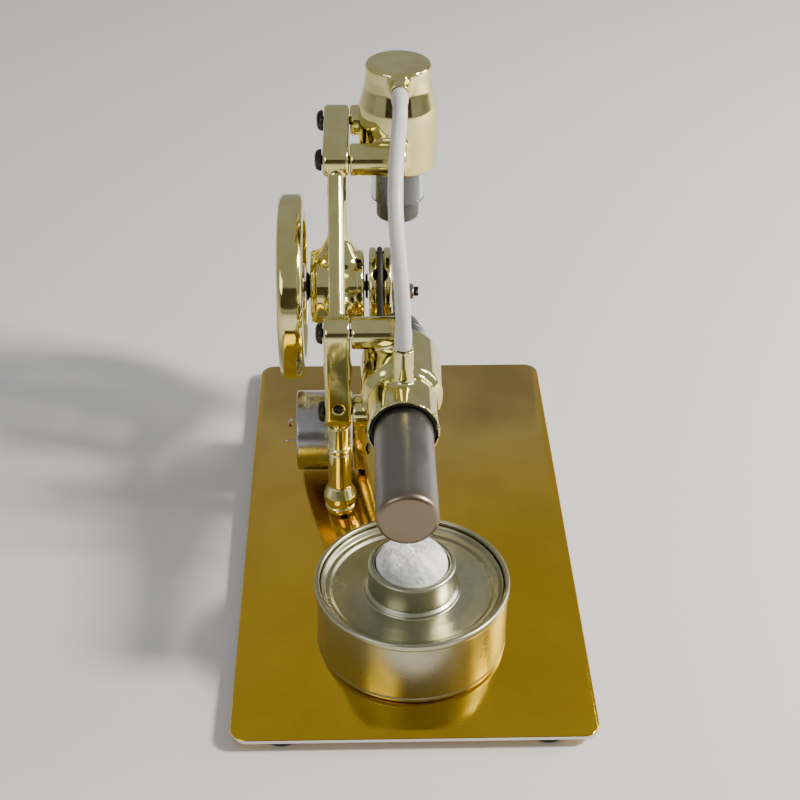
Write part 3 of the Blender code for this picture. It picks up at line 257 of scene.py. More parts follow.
def turned_distance(points, at, axis, outline, closed=False):
    """Signed distance to a turned solid, whose outline is (radius, height)."""
    away = points - at
    height = away @ axis
    radius = np.linalg.norm(away - height[:, None] * axis, axis=1)
    ends = np.roll(outline, -1, 0)
    nearest = np.full(len(points), 1e9)
    inside = np.zeros(len(points), bool)
    for i, (start, end) in enumerate(zip(outline, ends)):
        crossing = (start[1] > height) != (end[1] > height)
        if crossing.any():
            share = (height - start[1]) / (end[1] - start[1])
            inside ^= crossing & (radius < start[0] + share * (end[0] - start[0]))
        if i == len(outline) - 1 and not closed:
            continue
        run = end - start
        length = max(run @ run, 1e-12)
        share = np.clip(((radius - start[0]) * run[0] + (height - start[1]) * run[1]) / length, 0, 1)
        gap = (radius - start[0] - share * run[0]) ** 2 + (height - start[1] - share * run[1]) ** 2
        nearest = np.minimum(nearest, gap)
    return np.where(inside, -1, 1) * np.sqrt(nearest)


def rod_distance(points, at, axis, radius, start, end, edge=0.3):
    """Signed distance to a round bar between two places on its axis, with rounded edges."""
    away = points - at
    height = away @ axis
    out = np.linalg.norm(away - height[:, None] * axis, axis=1) - radius + edge
    along = np.abs(height - (start + end) / 2) - abs(end - start) / 2 + edge
    return np.hypot(np.maximum(out, 0), np.maximum(along, 0)) + np.minimum(np.maximum(out, along), 0) - edge


def bar_distance(points, at, along, half_span, radius, width, edge):
    """Signed distance to a bar with round ends, flat across X, with rounded edges."""
    away = points - at
    reach = away @ along
    sideways = away @ np.cross(X_AXIS, along)
    out = np.hypot(np.maximum(np.abs(reach) - half_span, 0), sideways) - radius + edge
    thick = np.abs(away[:, 0]) - width / 2 + edge
    return np.hypot(np.maximum(out, 0), np.maximum(thick, 0)) + np.minimum(np.maximum(out, thick), 0) - edge


def blend(first, second, fillet):
    """The nearer of two distances, with a fillet where they meet."""
    share = np.clip(0.5 + 0.5 * (second - first) / fillet, 0, 1)
    return second * (1 - share) + first * share - fillet * share * (1 - share)


def without(solid, cutter, fillet=0.25):
    """A solid's distance less a cutter, with a fillet round the cut."""
    return -blend(-solid, cutter, fillet)


def cast(node, distance, step, smooth_rounds=3):
    """A surface over a distance formula: a point for each grid cell and a quad for each grid edge that the
    surface crosses, and then every point is moved along the formula's slope on to the surface."""
    low, high = box(node)
    low, high = low - 1.7 * step, high + 2.2 * step
    counts = np.ceil((high - low) / step).astype(int) + 1
    axes = [low[i] + step * np.arange(counts[i]) for i in range(3)]
    places = np.stack(np.meshgrid(*axes, indexing="ij"), -1).reshape(-1, 3)
    values = distance(places).reshape(counts)
    inside = values < 0
    corners = [tuple(slice(o, counts[a] - 1 + o) for a, o in enumerate(offset))
               for offset in np.ndindex(2, 2, 2)]
    filled = sum(inside[corner].astype(int) for corner in corners)
    mixed = (filled > 0) & (filled < 8)
    index = np.full(mixed.shape, -1)
    index[mixed] = np.arange(mixed.sum())
    points = low + step * (np.argwhere(mixed) + 0.5)
    faces = []
    for a in range(3):
        b, c = (a + 1) % 3, (a + 2) % 3
        near, far = [slice(None)] * 3, [slice(None)] * 3
        near[a], far[a] = slice(0, -1), slice(1, None)
        changed = np.argwhere(inside[tuple(near)] != inside[tuple(far)])
        step_b, step_c = np.eye(3, dtype=int)[b], np.eye(3, dtype=int)[c]
        moves = (0 * step_b, step_b, step_b + step_c, step_c)
        quad = np.stack([index[tuple((changed - move).T)] for move in moves], 1)
        outward = inside[tuple(changed.T)]
        faces.append(np.where(outward[:, None], quad, quad[:, ::-1]))
    faces = np.vstack(faces)
    points = onto_surface(points, distance, 3)
    for _ in range(smooth_rounds):
        total, count = np.zeros_like(points), np.zeros(len(points))
        for corner in range(4):
            for other in (1, 3):
                np.add.at(total, faces[:, corner], points[faces[:, (corner + other) % 4]])
                np.add.at(count, faces[:, corner], 1)
        points = onto_surface(0.5 * points + 0.5 * total / count[:, None], distance, 2)
    # A point past the whole object's box is brought back on to it.
    points = np.clip(points, *(np.array(CAD_BOX) / MM))
    return new_piece("look_" + node, points, faces, node, 60)


def onto_surface(points, distance, rounds):
    """Each point moved along the distance's slope to where the distance is zero."""
    reach = 0.02
    for _ in range(rounds):
        value = distance(points)
        slope = np.stack([distance(points + reach * d) - distance(points - reach * d) for d in np.eye(3)], 1)
        slope /= 2 * reach
        points = points - np.clip(value / np.maximum((slope ** 2).sum(1), 0.25), -0.5, 0.5)[:, None] * slope
    return points


# ---------------------------------------------------------------- materials

def linear(code):
    """An sRGB hex colour as linear RGBA."""
    channels = [int(code[i:i + 2], 16) / 255 for i in (1, 3, 5)]
    return (*[(c / 12.92 if c <= 0.04045 else ((c + 0.055) / 1.055) ** 2.4) for c in channels], 1)


def node(tree, kind, inputs=(), **settings):
    """Adds a shader node, sets its properties and its inputs, and links any input given as a socket."""
    made = tree.nodes.new(kind)
    for name, value in settings.items():
        setattr(made, name, value)
    for name, value in dict(inputs).items():
        if isinstance(value, bpy.types.NodeSocket):
            tree.links.new(value, made.inputs[name])
        else:
            made.inputs[name].default_value = value
    return made


def finish(name, **inputs):
    """A new material with its tree, its shader and its object coordinates in millimetres."""
    made = bpy.data.materials.new(name)
    made.use_nodes = True
    tree = made.node_tree
    shader = tree.nodes["Principled BSDF"]
    for key, value in inputs.items():
        shader.inputs[key.replace("_", " ")].default_value = value
    place = node(tree, "ShaderNodeTexCoord")
    scaled = node(tree, "ShaderNodeVectorMath", {0: place.outputs["Object"], "Scale": 1 / MM},
                  operation="SCALE")
    return made, tree, shader, scaled.outputs[0]


def noise(tree, place, size, detail=3.0, rough=0.55):
    """Noise whose patches are about a size in millimetres."""
    return node(tree, "ShaderNodeTexNoise", {"Vector": place, "Scale": 1 / size, "Detail": detail,
                                             "Roughness": rough}).outputs["Fac"]


def ramp(tree, factor, low, high, start=0.35, end=0.65):
    """A socket that runs between two values or colours as a factor runs from start to end."""
    if isinstance(low, tuple):
        spread = node(tree, "ShaderNodeMapRange", {"Value": factor, "From Min": start, "From Max": end})
        mixed = node(tree, "ShaderNodeMix", {0: spread.outputs[0], 6: low, 7: high}, data_type="RGBA")
        return mixed.outputs[2]
    spread = node(tree, "ShaderNodeMapRange", {"Value": factor, "From Min": start, "From Max": end,
                                               "To Min": low, "To Max": high})
    return spread.outputs[0]


def relief(tree, shader, height, depth):
    """Bumps of a depth in millimetres on the shader's surface."""
    bump = node(tree, "ShaderNodeBump", {"Height": height, "Distance": depth * MM, "Strength": 1.0})
    tree.links.new(bump.outputs["Normal"], shader.inputs["Normal"])


def stretched(tree, place, scale):
    """Coordinates with each direction scaled by its own share."""
    return node(tree, "ShaderNodeVectorMath", {0: place, 1: scale}, operation="MULTIPLY").outputs[0]


def pale_gold():
    """Polished pale gold plating on die-cast zinc: faint casting waves and thin handling haze."""
    made, tree, shader, place = finish("pale_gold_plating", Metallic=1.0)
    waves = noise(tree, place, 9.0, 2.0)
    haze = noise(tree, place, 2.2, 5.0)
    tree.links.new(ramp(tree, waves, linear("#E8E0A0"), linear("#DCD08A")), shader.inputs["Base Color"])
    tree.links.new(ramp(tree, haze, 0.05, 0.11), shader.inputs["Roughness"])
    relief(tree, shader, waves, 0.05)
    return made


def deep_gold_film():
    """Mirror-gold anodised sheet with an orange-peel texture, and bare aluminium at its cut edge."""
    made, tree, shader, place = finish("gold_anodised_sheet", Metallic=1.0)
    peel = noise(tree, place, 0.55, 2.0, 0.5)
    clouds = noise(tree, place, 24.0, 3.0)
    gold = ramp(tree, clouds, linear("#E6BC34"), linear("#DAB02B"))
    facing = node(tree, "ShaderNodeNewGeometry")
    upright = node(tree, "ShaderNodeSeparateXYZ", {0: facing.outputs["True Normal"]})
    side = node(tree, "ShaderNodeMath", {0: upright.outputs[2]}, operation="ABSOLUTE")
    edge = node(tree, "ShaderNodeMath", {0: side.outputs[0], 1: 0.6}, operation="LESS_THAN")
    colour = node(tree, "ShaderNodeMix", {0: edge.outputs[0], 6: gold, 7: linear("#D5D3CE")},
                  data_type="RGBA")
    tree.links.new(colour.outputs[2], shader.inputs["Base Color"])
    tree.links.new(ramp(tree, clouds, 0.08, 0.12), shader.inputs["Roughness"])
    relief(tree, shader, peel, 0.02)
    return made


def steel(name, light, dark, axis, rough=(0.26, 0.38), heat=None):
    """Brushed steel with fine lines across an axis; heat is where the flame's tint starts and ends."""
    made, tree, shader, place = finish(name, Metallic=1.0)
    lines = noise(tree, stretched(tree, place, tuple(8.0 * a + 0.25 for a in axis)), 1.0, 4.0)
    clouds = noise(tree, place, 6.0)
    colour = ramp(tree, lines, linear(light), linear(dark))
    if heat:
        split = node(tree, "ShaderNodeSeparateXYZ", {0: place})
        near = ramp(tree, split.outputs[1], 1.0, 0.0, heat[0], heat[1])
        tint = node(tree, "ShaderNodeMix", {0: near, 6: colour, 7: linear("#857664")}, data_type="RGBA")
        colour = tint.outputs[2]
    tree.links.new(colour, shader.inputs["Base Color"])
    tree.links.new(ramp(tree, clouds, *rough), shader.inputs["Roughness"])
    relief(tree, shader, lines, 0.004)
    return made


def tinplate():
    """Satin tinplate, slightly green, with the fine grain of the rolled sheet and a few dull spots."""
    made, tree, shader, place = finish("satin_tinplate", Metallic=1.0)
    grain = noise(tree, place, 0.35, 2.0)
    spots = noise(tree, place, 14.0, 3.0)
    tree.links.new(ramp(tree, spots, linear("#B5B39A"), linear("#A5A38A")), shader.inputs["Base Color"])
    tree.links.new(ramp(tree, spots, 0.26, 0.34), shader.inputs["Roughness"])
    relief(tree, shader, grain, 0.003)
    return made


def plain(name, light, dark, rough, size=1.5, depth=0.01, metallic=0.0, **inputs):
    """A material of two close shades with a fine relief."""
    made, tree, shader, place = finish(name, Metallic=metallic, **inputs)
    grain = noise(tree, place, size, 4.0)
    tree.links.new(ramp(tree, grain, linear(light), linear(dark)), shader.inputs["Base Color"])
    tree.links.new(ramp(tree, grain, rough, rough * 1.25), shader.inputs["Roughness"])
    relief(tree, shader, grain, depth)
    return made


def glass():
    """Clear borosilicate tube."""
    made, tree, shader, place = finish("borosilicate_glass", IOR=1.47, Roughness=0.02)
    shader.inputs["Base Color"].default_value = linear("#F4FAF8")
    shader.inputs["Transmission Weight"].default_value = 1.0
    relief(tree, shader, noise(tree, place, 7.0, 1.0), 0.01)
    return made


FINISHES = {
    "gold_plating": pale_gold(),
    "gold_plate": deep_gold_film(),
    "bare_steel": steel("brushed_steel", "#A7A298", "#8D877C", (1, 1, 1)),
    # Nickel-plated black screws.
    "dark_steel": plain("dark_nickel", "#4A4844", "#33312E", 0.25, 0.8, 0.005, 1.0),
    # Zinc-plated motor can and nut.
    "zinc_plate": plain("bright_zinc", "#B9BABA", "#ACADAD", 0.24, 5.0, 0.003, 1.0),
    "tinplate": tinplate(),
    # Machined graphite.
    "graphite": plain("graphite", "#55534F", "#403E3B", 0.36, 0.5, 0.008, 0.4),
    "clear_glass": glass(),
    "black_rubber": plain("black_rubber", "#1D1C1B", "#141312", 0.55, 0.4, 0.01),
    "black_nylon": plain("black_nylon", "#1B1918", "#121110", 0.34, 0.7, 0.008),
    # Translucent white silicone.
    "silicone": plain("white_silicone", "#F1F0EB", "#E6E5DF", 0.3, 3.0, 0.004, Subsurface_Weight=0.35,
                      Subsurface_Scale=2 * MM, Transmission_Weight=0.35, IOR=1.41),
    "cotton": plain("cotton_wool", "#FCFCFA", "#F3F2EE", 0.9, 0.5, 0.06, Subsurface_Weight=0.3,
                    Subsurface_Scale=1.5 * MM, Sheen_Weight=0.4),
}
HEATED = steel("heat_tinted_steel", "#8F8B84", "#827E77", (0.3, 1, 0.3), (0.3, 0.38),
               (box("hot_tube")[0][1], box("hot_tube")[0][1] + 5))


# ---------------------------------------------------------------- base, feet and post

def make_base():
    """The plate as a rounded slab with a fine bevel, so that its edges catch the light."""
    low, high = box("base_plate")
    corner, bevel = 4.5, 0.25
    rings = [(low[2], bevel), (low[2] + bevel, 0.0), (high[2] - bevel, 0.0), (high[2], bevel)]
    half = (high - low) / 2
    middle = (high + low) / 2
    outline = []
    for quarter in range(4):
        sx, sy = (1, 1, -1, -1)[quarter], (-1, 1, 1, -1)[quarter]
        for step in range(13):
            angle = math.radians(-90 + 90 * quarter + 7.5 * step)
            outline.append((sx * (half[0] - corner), sy * (half[1] - corner),
                            math.cos(angle), math.sin(angle)))
    points = [(middle[0] + x + (corner - inset) * c, middle[1] + y + (corner - inset) * s, z)
              for z, inset in rings for x, y, c, s in outline]
    count = len(outline)
    faces = grid_faces(len(rings), count, False, True).tolist()
    faces += [list(range(count))[::-1], list(range(3 * count, 4 * count))]
    new_piece("look_base_plate", points, faces, "base_plate", 50)
    for side_y in ("front", "rear"):
        for side_x in ("left", "right"):
            name = f"rubber_foot_{side_y}_{side_x}"
            low, high = box(name)
            foot, radius = (low + high) / 2 * [1, 1, 0], (high[0] - low[0]) / 2
            turned(name, [(0, high[2]), (radius - 0.4, high[2]), (radius - 0.2, 0.9, 0.6),
                          (radius - 0.8, 0, 0.5), (0, 0)], foot, Z_AXIS, steps=48)


def make_post():
    """A turned post: a bulb at its foot, a ring below the frame and a spigot up into it."""
    at = centre("frame_post") * [1, 1, 0] + [0, 0, DECK]
    top = box("frame_post")[1][2] - DECK
    bar = CRANK[2] - DECK - BAR_SPAN - BAR_RADIUS
    corners = [(0, top), (2.4, top, 0.3), (2.4, bar - GAP), (3.05, bar - GAP, 0.3), (3.05, 23.6, 0.3),
               (3.4, 23.2, 0.3), (3.4, 22.2, 0.3), (3.2, 21.8, 0.2), (3.35, 21.2, 0.3), (3.4, 9.5, 3.5),
               (POST_BULB - 0.1, 6.2, 1.2), (POST_BULB, 4.6, 1.0), (4.5, 3.2, 0.4), (4.0, 2.7, 0.3),
               (4.5, 2.2, 0.4), (4.5, 1.4, 0.4), (4.1, GAP, 0.3), (0, GAP)]
    turned("frame_post", corners, at, Z_AXIS)


# ---------------------------------------------------------------- frame, castings and their screws

def lug_places():
    """(y, z) of the four cylinder screws: the cold pair, then the hot pair."""
    return [(CRANK[1] - BAR_SPAN, CRANK[2] + TOP_REACH), (CRANK[1] + BAR_SPAN, CRANK[2] + TOP_REACH),
            (CRANK[1] - FRONT_REACH, CRANK[2] + BAR_SPAN), (CRANK[1] - FRONT_REACH, CRANK[2] - BAR_SPAN)]


def make_frame():
    """Hub, two arms, two T-bars and a slanting brace as one casting, with soft fillets."""
    hub_at = np.array([centre("frame_casting")[0], CRANK[1], CRANK[2]])
    half, radius = half_size("frame_casting")[0], 11.5
    hub = rounded([(0, half), (radius - 0.4, half, 1.2), (radius, half - 2.2, 2), (radius, 2.2 - half, 2),
                   (radius - 0.4, -half, 1.2), (0, -half)])
    top_arm = rounded([(0, 47), (3.8, 47), (3.0, 40, 5), (3.0, 17.5, 9), (7.0, 10, 2), (5, 7.5), (0, 7.5)])
    front_arm = rounded([(0, 46), (3.8, 46), (3.0, 40, 5), (3.0, 13, 3), (4.0, 10, 2), (3.5, 7.5), (0, 7.5)])
    root = np.array([FRAME_X, CRANK[1], CRANK[2]])
    width = 7.4
    (y, z), _, (low_y, low_z), _ = lug_places()
    brace_at = np.array([FRAME_X, y, z])
    brace_along = np.array([0, low_y - y, low_z - z])
    brace_length = np.linalg.norm(brace_along)
    brace_along = brace_along / brace_length
    bars = ((root + TOP_REACH * Z_AXIS, Y_AXIS), (root - FRONT_REACH * Y_AXIS, Z_AXIS))

    def distance(points):
        solid = turned_distance(points, hub_at, X_AXIS, hub)
        for axis, arm in ((Z_AXIS, top_arm), (-Y_AXIS, front_arm)):
            solid = blend(solid, turned_distance(points, root, axis, arm), 1.6)
        for at, along in bars:
            solid = blend(solid, bar_distance(points, at, along, BAR_SPAN, BAR_RADIUS, width, 1.0), 1.6)
        brace = rod_distance(points, brace_at, brace_along, 2.25, 2.6, brace_length - 2.6)
        solid = blend(solid, brace, 1.2)
        for y, z in lug_places():
            solid = without(solid, rod_distance(points, np.array([FRAME_X, y, z]), X_AXIS, SCREW_HOLE, -9, 9))
        for side in (-9.5, 9.5):
            dimple = root + [0, side, TOP_REACH + BAR_RADIUS + 2.0]
            solid = without(solid, np.linalg.norm(points - dimple, axis=1) - 2.4, 0.5)
        for side, start in ((-1, half), (1, half)):
            seat = rod_distance(points, hub_at, X_AXIS, 5.3, side * (start - 4.2), side * (start + 3))
            solid = without(solid, seat)
        solid = without(solid, rod_distance(points, hub_at, X_AXIS, 4.0, -9, 9))
        grub = root + [0, -FRONT_REACH - BAR_RADIUS, 3.6 - BAR_SPAN]
        solid = without(solid, rod_distance(points, grub, Y_AXIS, 1.5, -2, 3.0), 0.3)
        spigot = root + [0, -FRONT_REACH, -BAR_SPAN - BAR_RADIUS]
        return without(solid, rod_distance(points, spigot, Z_AXIS, 2.7, -2, 10.3))

    cast("frame_casting", distance, 0.42)


def make_cold_casting():
    """The upright cylinder: an open sleeve, a shoulder and a domed cap, as (radius, distance up)."""
    at = COLD_LINE
    seat = GLASS_RADIUS + GAP
    wide, cap = SLEEVE_RADIUS, SLEEVE_RADIUS - 2.1
    body = rounded([(0, CAP_END), (cap, CAP_END, 1.0), (cap + 0.1, 69.2, 2.0), (cap + 0.5, 66.2, 3),
                    (wide - 0.2, 60.6, 2.5), (wide, 58.6, 2), (wide, SLEEVE_START, 0.8),
                    (seat, SLEEVE_START, 0.3),
                    (seat, GLASS_END + GAP), (CHAMBER_RADIUS, GLASS_END + GAP),
                    (CHAMBER_RADIUS, CAP_END - CAP_ROOF), (0, CAP_END - CAP_ROOF)])
    mouth = CRANK[1] - COLD_BOSS_MOUTH
    port = at + COLD_PORT * Z_AXIS
    shape = casting_distance(at, Z_AXIS, body, False, lug_places()[:2], port, -Y_AXIS, mouth)
    cast("cold_casting", shape, 0.4)


def make_hot_casting():
    """The level cylinder, with a stepped collar that holds the hot tube and its seal."""
    at = COLD_LINE
    seat, tube = GLASS_RADIUS + GAP, TUBE_RADIUS + GAP
    wide = SLEEVE_RADIUS
    body = rounded([(9.8, COLLAR_END, 0.5), (9.8, 65, 0.8), (9.5, 63.6, 0.8), (9.7, 62.6, 0.8),
                    (wide - 0.3, 61.2, 0.8), (wide, 60.0, 1.0), (wide, SLEEVE_START, 0.8),
                    (seat, SLEEVE_START, 0.3), (seat, GLASS_END + GAP),
                    (CHAMBER_RADIUS, GLASS_END + GAP), (CHAMBER_RADIUS, 69.2),
                    (tube, 69.2), (tube, 74.8), (tube + 1, 74.8),
                    (tube + 1, COLLAR_END, 0.2)], True)
    mouth = HOT_BOSS_MOUTH - CRANK[2]
    port = at - HOT_PORT * Y_AXIS
    shape = casting_distance(at, -Y_AXIS, body, True, lug_places()[2:], port, Z_AXIS, mouth)
    cast("hot_casting", shape, 0.4)


def casting_distance(at, axis, body, closed, lugs, port, boss_axis, mouth):
    """A cylinder casting: turned body, round lugs blended into it, and a hose boss with a dished mouth."""
    lug_start = FRAME_X + 3.7 + GAP
    boss = rounded([(0, mouth - 0.9), (1.8, mouth - 0.9, 0.2), (2.3, mouth, 0.2), (2.9, mouth, 0.5),
                    (2.9, 7.8), (0, 7.8)])

    def distance(points):
        solid = turned_distance(points, at, axis, body, closed)
        for y, z in lugs:
            lug = rod_distance(points, np.array([0, y, z]), X_AXIS, BAR_RADIUS, lug_start,
                               CYLINDER_X + 2, 0.8)
            solid = blend(solid, lug, 1.8)
        solid = blend(solid, turned_distance(points, port, boss_axis, boss), 1.4)
        solid = without(solid, rod_distance(points, at, axis, GLASS_RADIUS + GAP, 30, GLASS_END + GAP, 0.2))
        solid = without(solid, rod_distance(points, port, boss_axis, 1.5, mouth - 3.3, mouth + 2, 0.1))
        for y, z in lugs:
            hole = rod_distance(points, np.array([0, y, z]), X_AXIS, SCREW_HOLE, lug_start - 2,
                                lug_start + 7, 0.1)
            solid = without(solid, hole)
        return solid

    return distance


def with_socket(node, corners, at, axis, socket=1.0, depth=1.3):
    """A turned screw head with a hexagon socket, as one distance formula."""
    outline = rounded(corners)
    first, second = across(axis)
    mouth = corners[0][1]

    def distance(points):
        solid = turned_distance(points, at, axis, outline)
        away = points - at
        u, v, h = away @ first, away @ second, away @ axis
        flats = [np.abs(u * math.cos(a) + v * math.sin(a)) for a in np.radians((0, 60, 120))]
        hexagon = np.maximum(np.max(flats, axis=0) - socket, mouth - depth - h)
        return without(solid, hexagon, 0.12)

    cast(node, distance, 0.16)


def make_cylinder_screws():
    """The four socket-head screws that hold the cylinders' lugs on the T-bars."""
    for name in ("cold_screw_front", "cold_screw_rear", "hot_screw_upper", "hot_screw_lower"):
        low, high = box(name)
        head = high[0] - low[0] - SCREW_REACH
        at = np.array([low[0] + head, (low[1] + high[1]) / 2, (low[2] + high[2]) / 2])
        radius = (high[1] - low[1]) / 2
        corners = [(0, head), (1.5, head), (radius - 0.5, head - 0.4, 0.8), (radius, 0.7, 0.6),
                   (radius, 0, 0.2), (1.25, 0), (1.25, -SCREW_REACH, 0.3), (0, -SCREW_REACH)]
        with_socket(name, corners, at, -X_AXIS)


def make_pistons_and_glass():
    """Graphite pistons with two oil grooves, each in a clear tube."""
    for side, axis in (("cold", Z_AXIS), ("hot", -Y_AXIS)):
        piston = side + "_piston"
        low, high = box(piston)
        radius = (high[0] - low[0]) / 2
        skirt = min(abs((low - COLD_LINE) @ axis), abs((high - COLD_LINE) @ axis))
        at = COLD_LINE + (skirt + 4.6) * axis
        rings = [(0, 12), (radius, 12, 0.5)]
        for top in (10.2, 8.4):
            rings += [(radius, top), (radius - 0.18, top - 0.1), (radius - 0.18, top - 0.4),
                      (radius, top - 0.5)]
        rings += [(radius, -4.6, 0.5), (4.2, -4.6, 0.35), (4.2, 3.9, 1), (0, 3.9)]
        outline = rounded(rings)

        def distance(points, at=at, axis=axis, outline=outline):
            solid = turned_distance(points, at, axis, outline)
            return without(solid, rod_distance(points, at, X_AXIS, 1.3, -9, 9), 0.2)

        cast(piston, distance, 0.3, 2)
        inner = GLASS_RADIUS - GLASS_WALL
        corners = [(GLASS_RADIUS, GLASS_END, 0.3), (GLASS_RADIUS, GLASS_START, 0.6),
                   (inner, GLASS_START, 0.6), (inner, GLASS_END, 0.3)]
        turned(side + "_glass_cylinder", corners, COLD_LINE, axis, True, 128)


def make_hot_tube():
    """The closed steel tube over the flame, the seal round its mouth and the displacer inside it."""
    start = CRANK[1] - box("hot_tube")[1][1]
    inner = TUBE_RADIUS - SHEET
    corners = [(0, TUBE_END), (TUBE_RADIUS, TUBE_END, 1.6), (TUBE_RADIUS, start, 0.1), (inner, start),
               (inner, TUBE_END - SHEET, 0.8), (0, TUBE_END - SHEET)]
    tube = turned("hot_tube", corners, COLD_LINE, -Y_AXIS, steps=160, arc_steps=10)
    tube.data.materials[0] = HEATED
    seat = TUBE_RADIUS + GAP
    corners = [(seat + 0.7, COLLAR_END - 0.4, 0.2), (seat + 0.7, COLLAR_END - 1.8),
               (seat, COLLAR_END - 1.8), (seat, COLLAR_END - 0.4, 0.2)]
    turned("collar_seal", corners, COLD_LINE, -Y_AXIS, True)
    last, first = (CRANK[1] - corner[1] for corner in box("displacer"))
    corners = [(0, last), (6.2, last, 0.8), (6.2, first, 0.3), (5.4, first), (5.4, last - 1), (0, last - 1)]
    turned("displacer", corners, COLD_LINE, -Y_AXIS)


# ---------------------------------------------------------------- crankshaft, flywheel, pulleys and belt

def make_flywheel():
    """A rim, a thin web with six round holes, and a hub."""
    at, (half, _, radius) = centre("flywheel"), half_size("flywheel")
    inside = radius - 5.5
    wheel = rounded([(radius, half, 2.0), (radius, -half, 2.0), (inside, -half, 0.4),
                     (inside - 0.6, -1.5, 1.0), (7.5, -1.5, 0.8), (7, -half, 0.4), (SHAFT_HOLE, -half),
                     (SHAFT_HOLE, half), (7, half, 0.4), (7.5, 1.5, 0.8), (inside - 0.6, 1.5, 1.0),
                     (inside, half, 0.4)], True, 4)
    ring = (inside + 7) / 2

    def distance(points):
        solid = turned_distance(points, at, X_AXIS, wheel, True)
        for place in range(6):
            angle = math.radians(20 + 60 * place)
            hole = at + ring * (math.cos(angle) * Y_AXIS + math.sin(angle) * Z_AXIS)
            solid = without(solid, rod_distance(points, hole, X_AXIS, 4.3, -5, 5), 0.35)
        return solid

    cast("flywheel", distance, 0.45)


def groove(radius, half, bore, mouth=1.2):
    """A pulley's closed outline, with a round-bottomed belt groove."""
    depth = radius - mouth - GROOVE_DEPTH
    bottom = [(depth + mouth * (1 - math.sin(a)), mouth * math.cos(a)) for a in np.radians(range(0, 181, 15))]
    return rounded([(radius, half, 0.7), (radius, mouth + 0.25), (radius - 0.25, mouth)] + bottom
                   + [(radius - 0.25, -mouth), (radius, -mouth - 0.25), (radius, -half, 0.7), (bore, -half),
                      (bore, half)], True, 5)


def make_crank_pulley():
    """The big pulley, bored for shaft, crank pin and set screw, and the small one on the motor."""
    at = np.array([centre("crank_pulley")[0], CRANK[1], CRANK[2]])
    half, radius, _ = half_size("crank_pulley")
    outline = groove(radius, half, SHAFT_HOLE)
    pin_at = np.array([at[0], PIN[1], PIN[2]])
    out = -(math.cos(PIN_ANGLE) * Y_AXIS + math.sin(PIN_ANGLE) * Z_AXIS)

    def distance(points):
        solid = turned_distance(points, at, X_AXIS, outline, True)
        solid = without(solid, rod_distance(points, pin_at, X_AXIS, SHAFT_HOLE, -6, 6), 0.2)
        solid = without(solid, rod_distance(points, at, out, 1.9, 1.5, 14), 0.2)
        return without(solid, rod_distance(points, at, out, 2.3, 10.9, 14, 0.1), 0.25)

    cast("crank_pulley", distance, 0.3)
    corners = [(0, 6.6), (1.1, 6.6), (1.5, 6.2, 0.2), (1.5, 2.1, 0.2), (0, 2.1)]
    with_socket("crank_set_screw", corners, at, out, 0.7)
    half, _, radius = half_size("motor_pulley")
    outline = [tuple(point) for point in groove(radius, half, 1.3)]
    turned("motor_pulley", outline, centre("motor_pulley"), X_AXIS, True, 64)


def bar(name, radius, edge=0.25):
    """A plain round bar along X, with rounded ends, where the CAD bar is."""
    half = half_size(name)[0]
    corners = [(0, half), (radius, half, edge), (radius, -half, edge), (0, -half)]
    turned(name, corners, centre(name), X_AXIS, steps=48)


def make_shaft_parts():
    """The shafts and pins, the two spacers beside the hub, and its ball bearings."""
    for name in ("crankshaft", "crank_pin"):
        bar(name, 1.5)
    for name in ("motor_shaft", "hot_wrist_pin", "cold_wrist_pin"):
        bar(name, 1.0)
    low, high = box("flywheel_spacer")
    at = np.array([low[0], CRANK[1], CRANK[2]])
    nose = high[0] - low[0]
    corners = [(SHAFT_HOLE, nose), (3.4, nose, 0.3), (5.25, 0, 0.4), (SHAFT_HOLE, 0)]
    turned("flywheel_spacer", corners, at, X_AXIS, True)
    at = np.array([box("crank_spacer")[0][0], CRANK[1], CRANK[2]])
    corners = [(SHAFT_HOLE, 0.8), (3.95, 0.8, 0.15), (3.6, 0, 0.15), (SHAFT_HOLE, 0)]
    turned("crank_spacer", corners, at, X_AXIS, True)
    for name in ("bearing_left", "bearing_right"):
        half = half_size(name)[0]
        corners = [(5, half, 0.3), (5, -half, 0.3), (4.2, -half), (4.1, 0.35 - half), (2.7, 0.35 - half),
                   (2.6, -half), (SHAFT_HOLE, -half), (SHAFT_HOLE, half), (2.6, half), (2.7, half - 0.35),
                   (4.1, half - 0.35), (4.2, half)]
        turned(name, corners, centre(name), X_AXIS, True)


def make_belt():
    """A round belt: the outer tangents of its two pulleys and the wraps between them."""
    motor = centre("motor_shaft")
    x = centre("motor_pulley")[0]
    big, small = 12 - GROOVE_DEPTH, 4 - GROOVE_DEPTH
    dy, dz = CRANK[1] - motor[1], CRANK[2] - motor[2]
    line, lean = math.atan2(dz, dy), math.acos((big - small) / math.hypot(dy, dz))
    over = np.linspace(line - math.pi + lean, line + math.pi - lean, 90)
    under = np.linspace(line + math.pi - lean, line + math.pi + lean, 40)
    wraps = [(CRANK[1] + big * math.cos(a), CRANK[2] + big * math.sin(a)) for a in over]
    low = [(motor[1] + small * math.cos(a), motor[2] + small * math.sin(a)) for a in under]
    runs = [np.linspace(wraps[-1], low[0], 14)[1:-1], np.linspace(low[-1], wraps[0], 14)[1:-1]]
    loop = np.vstack([wraps, runs[0], low, runs[1]])
    route = np.column_stack([np.full(len(loop), x), loop])
    swept("drive_belt", route, np.full(len(route), BELT_RADIUS), 24, True)


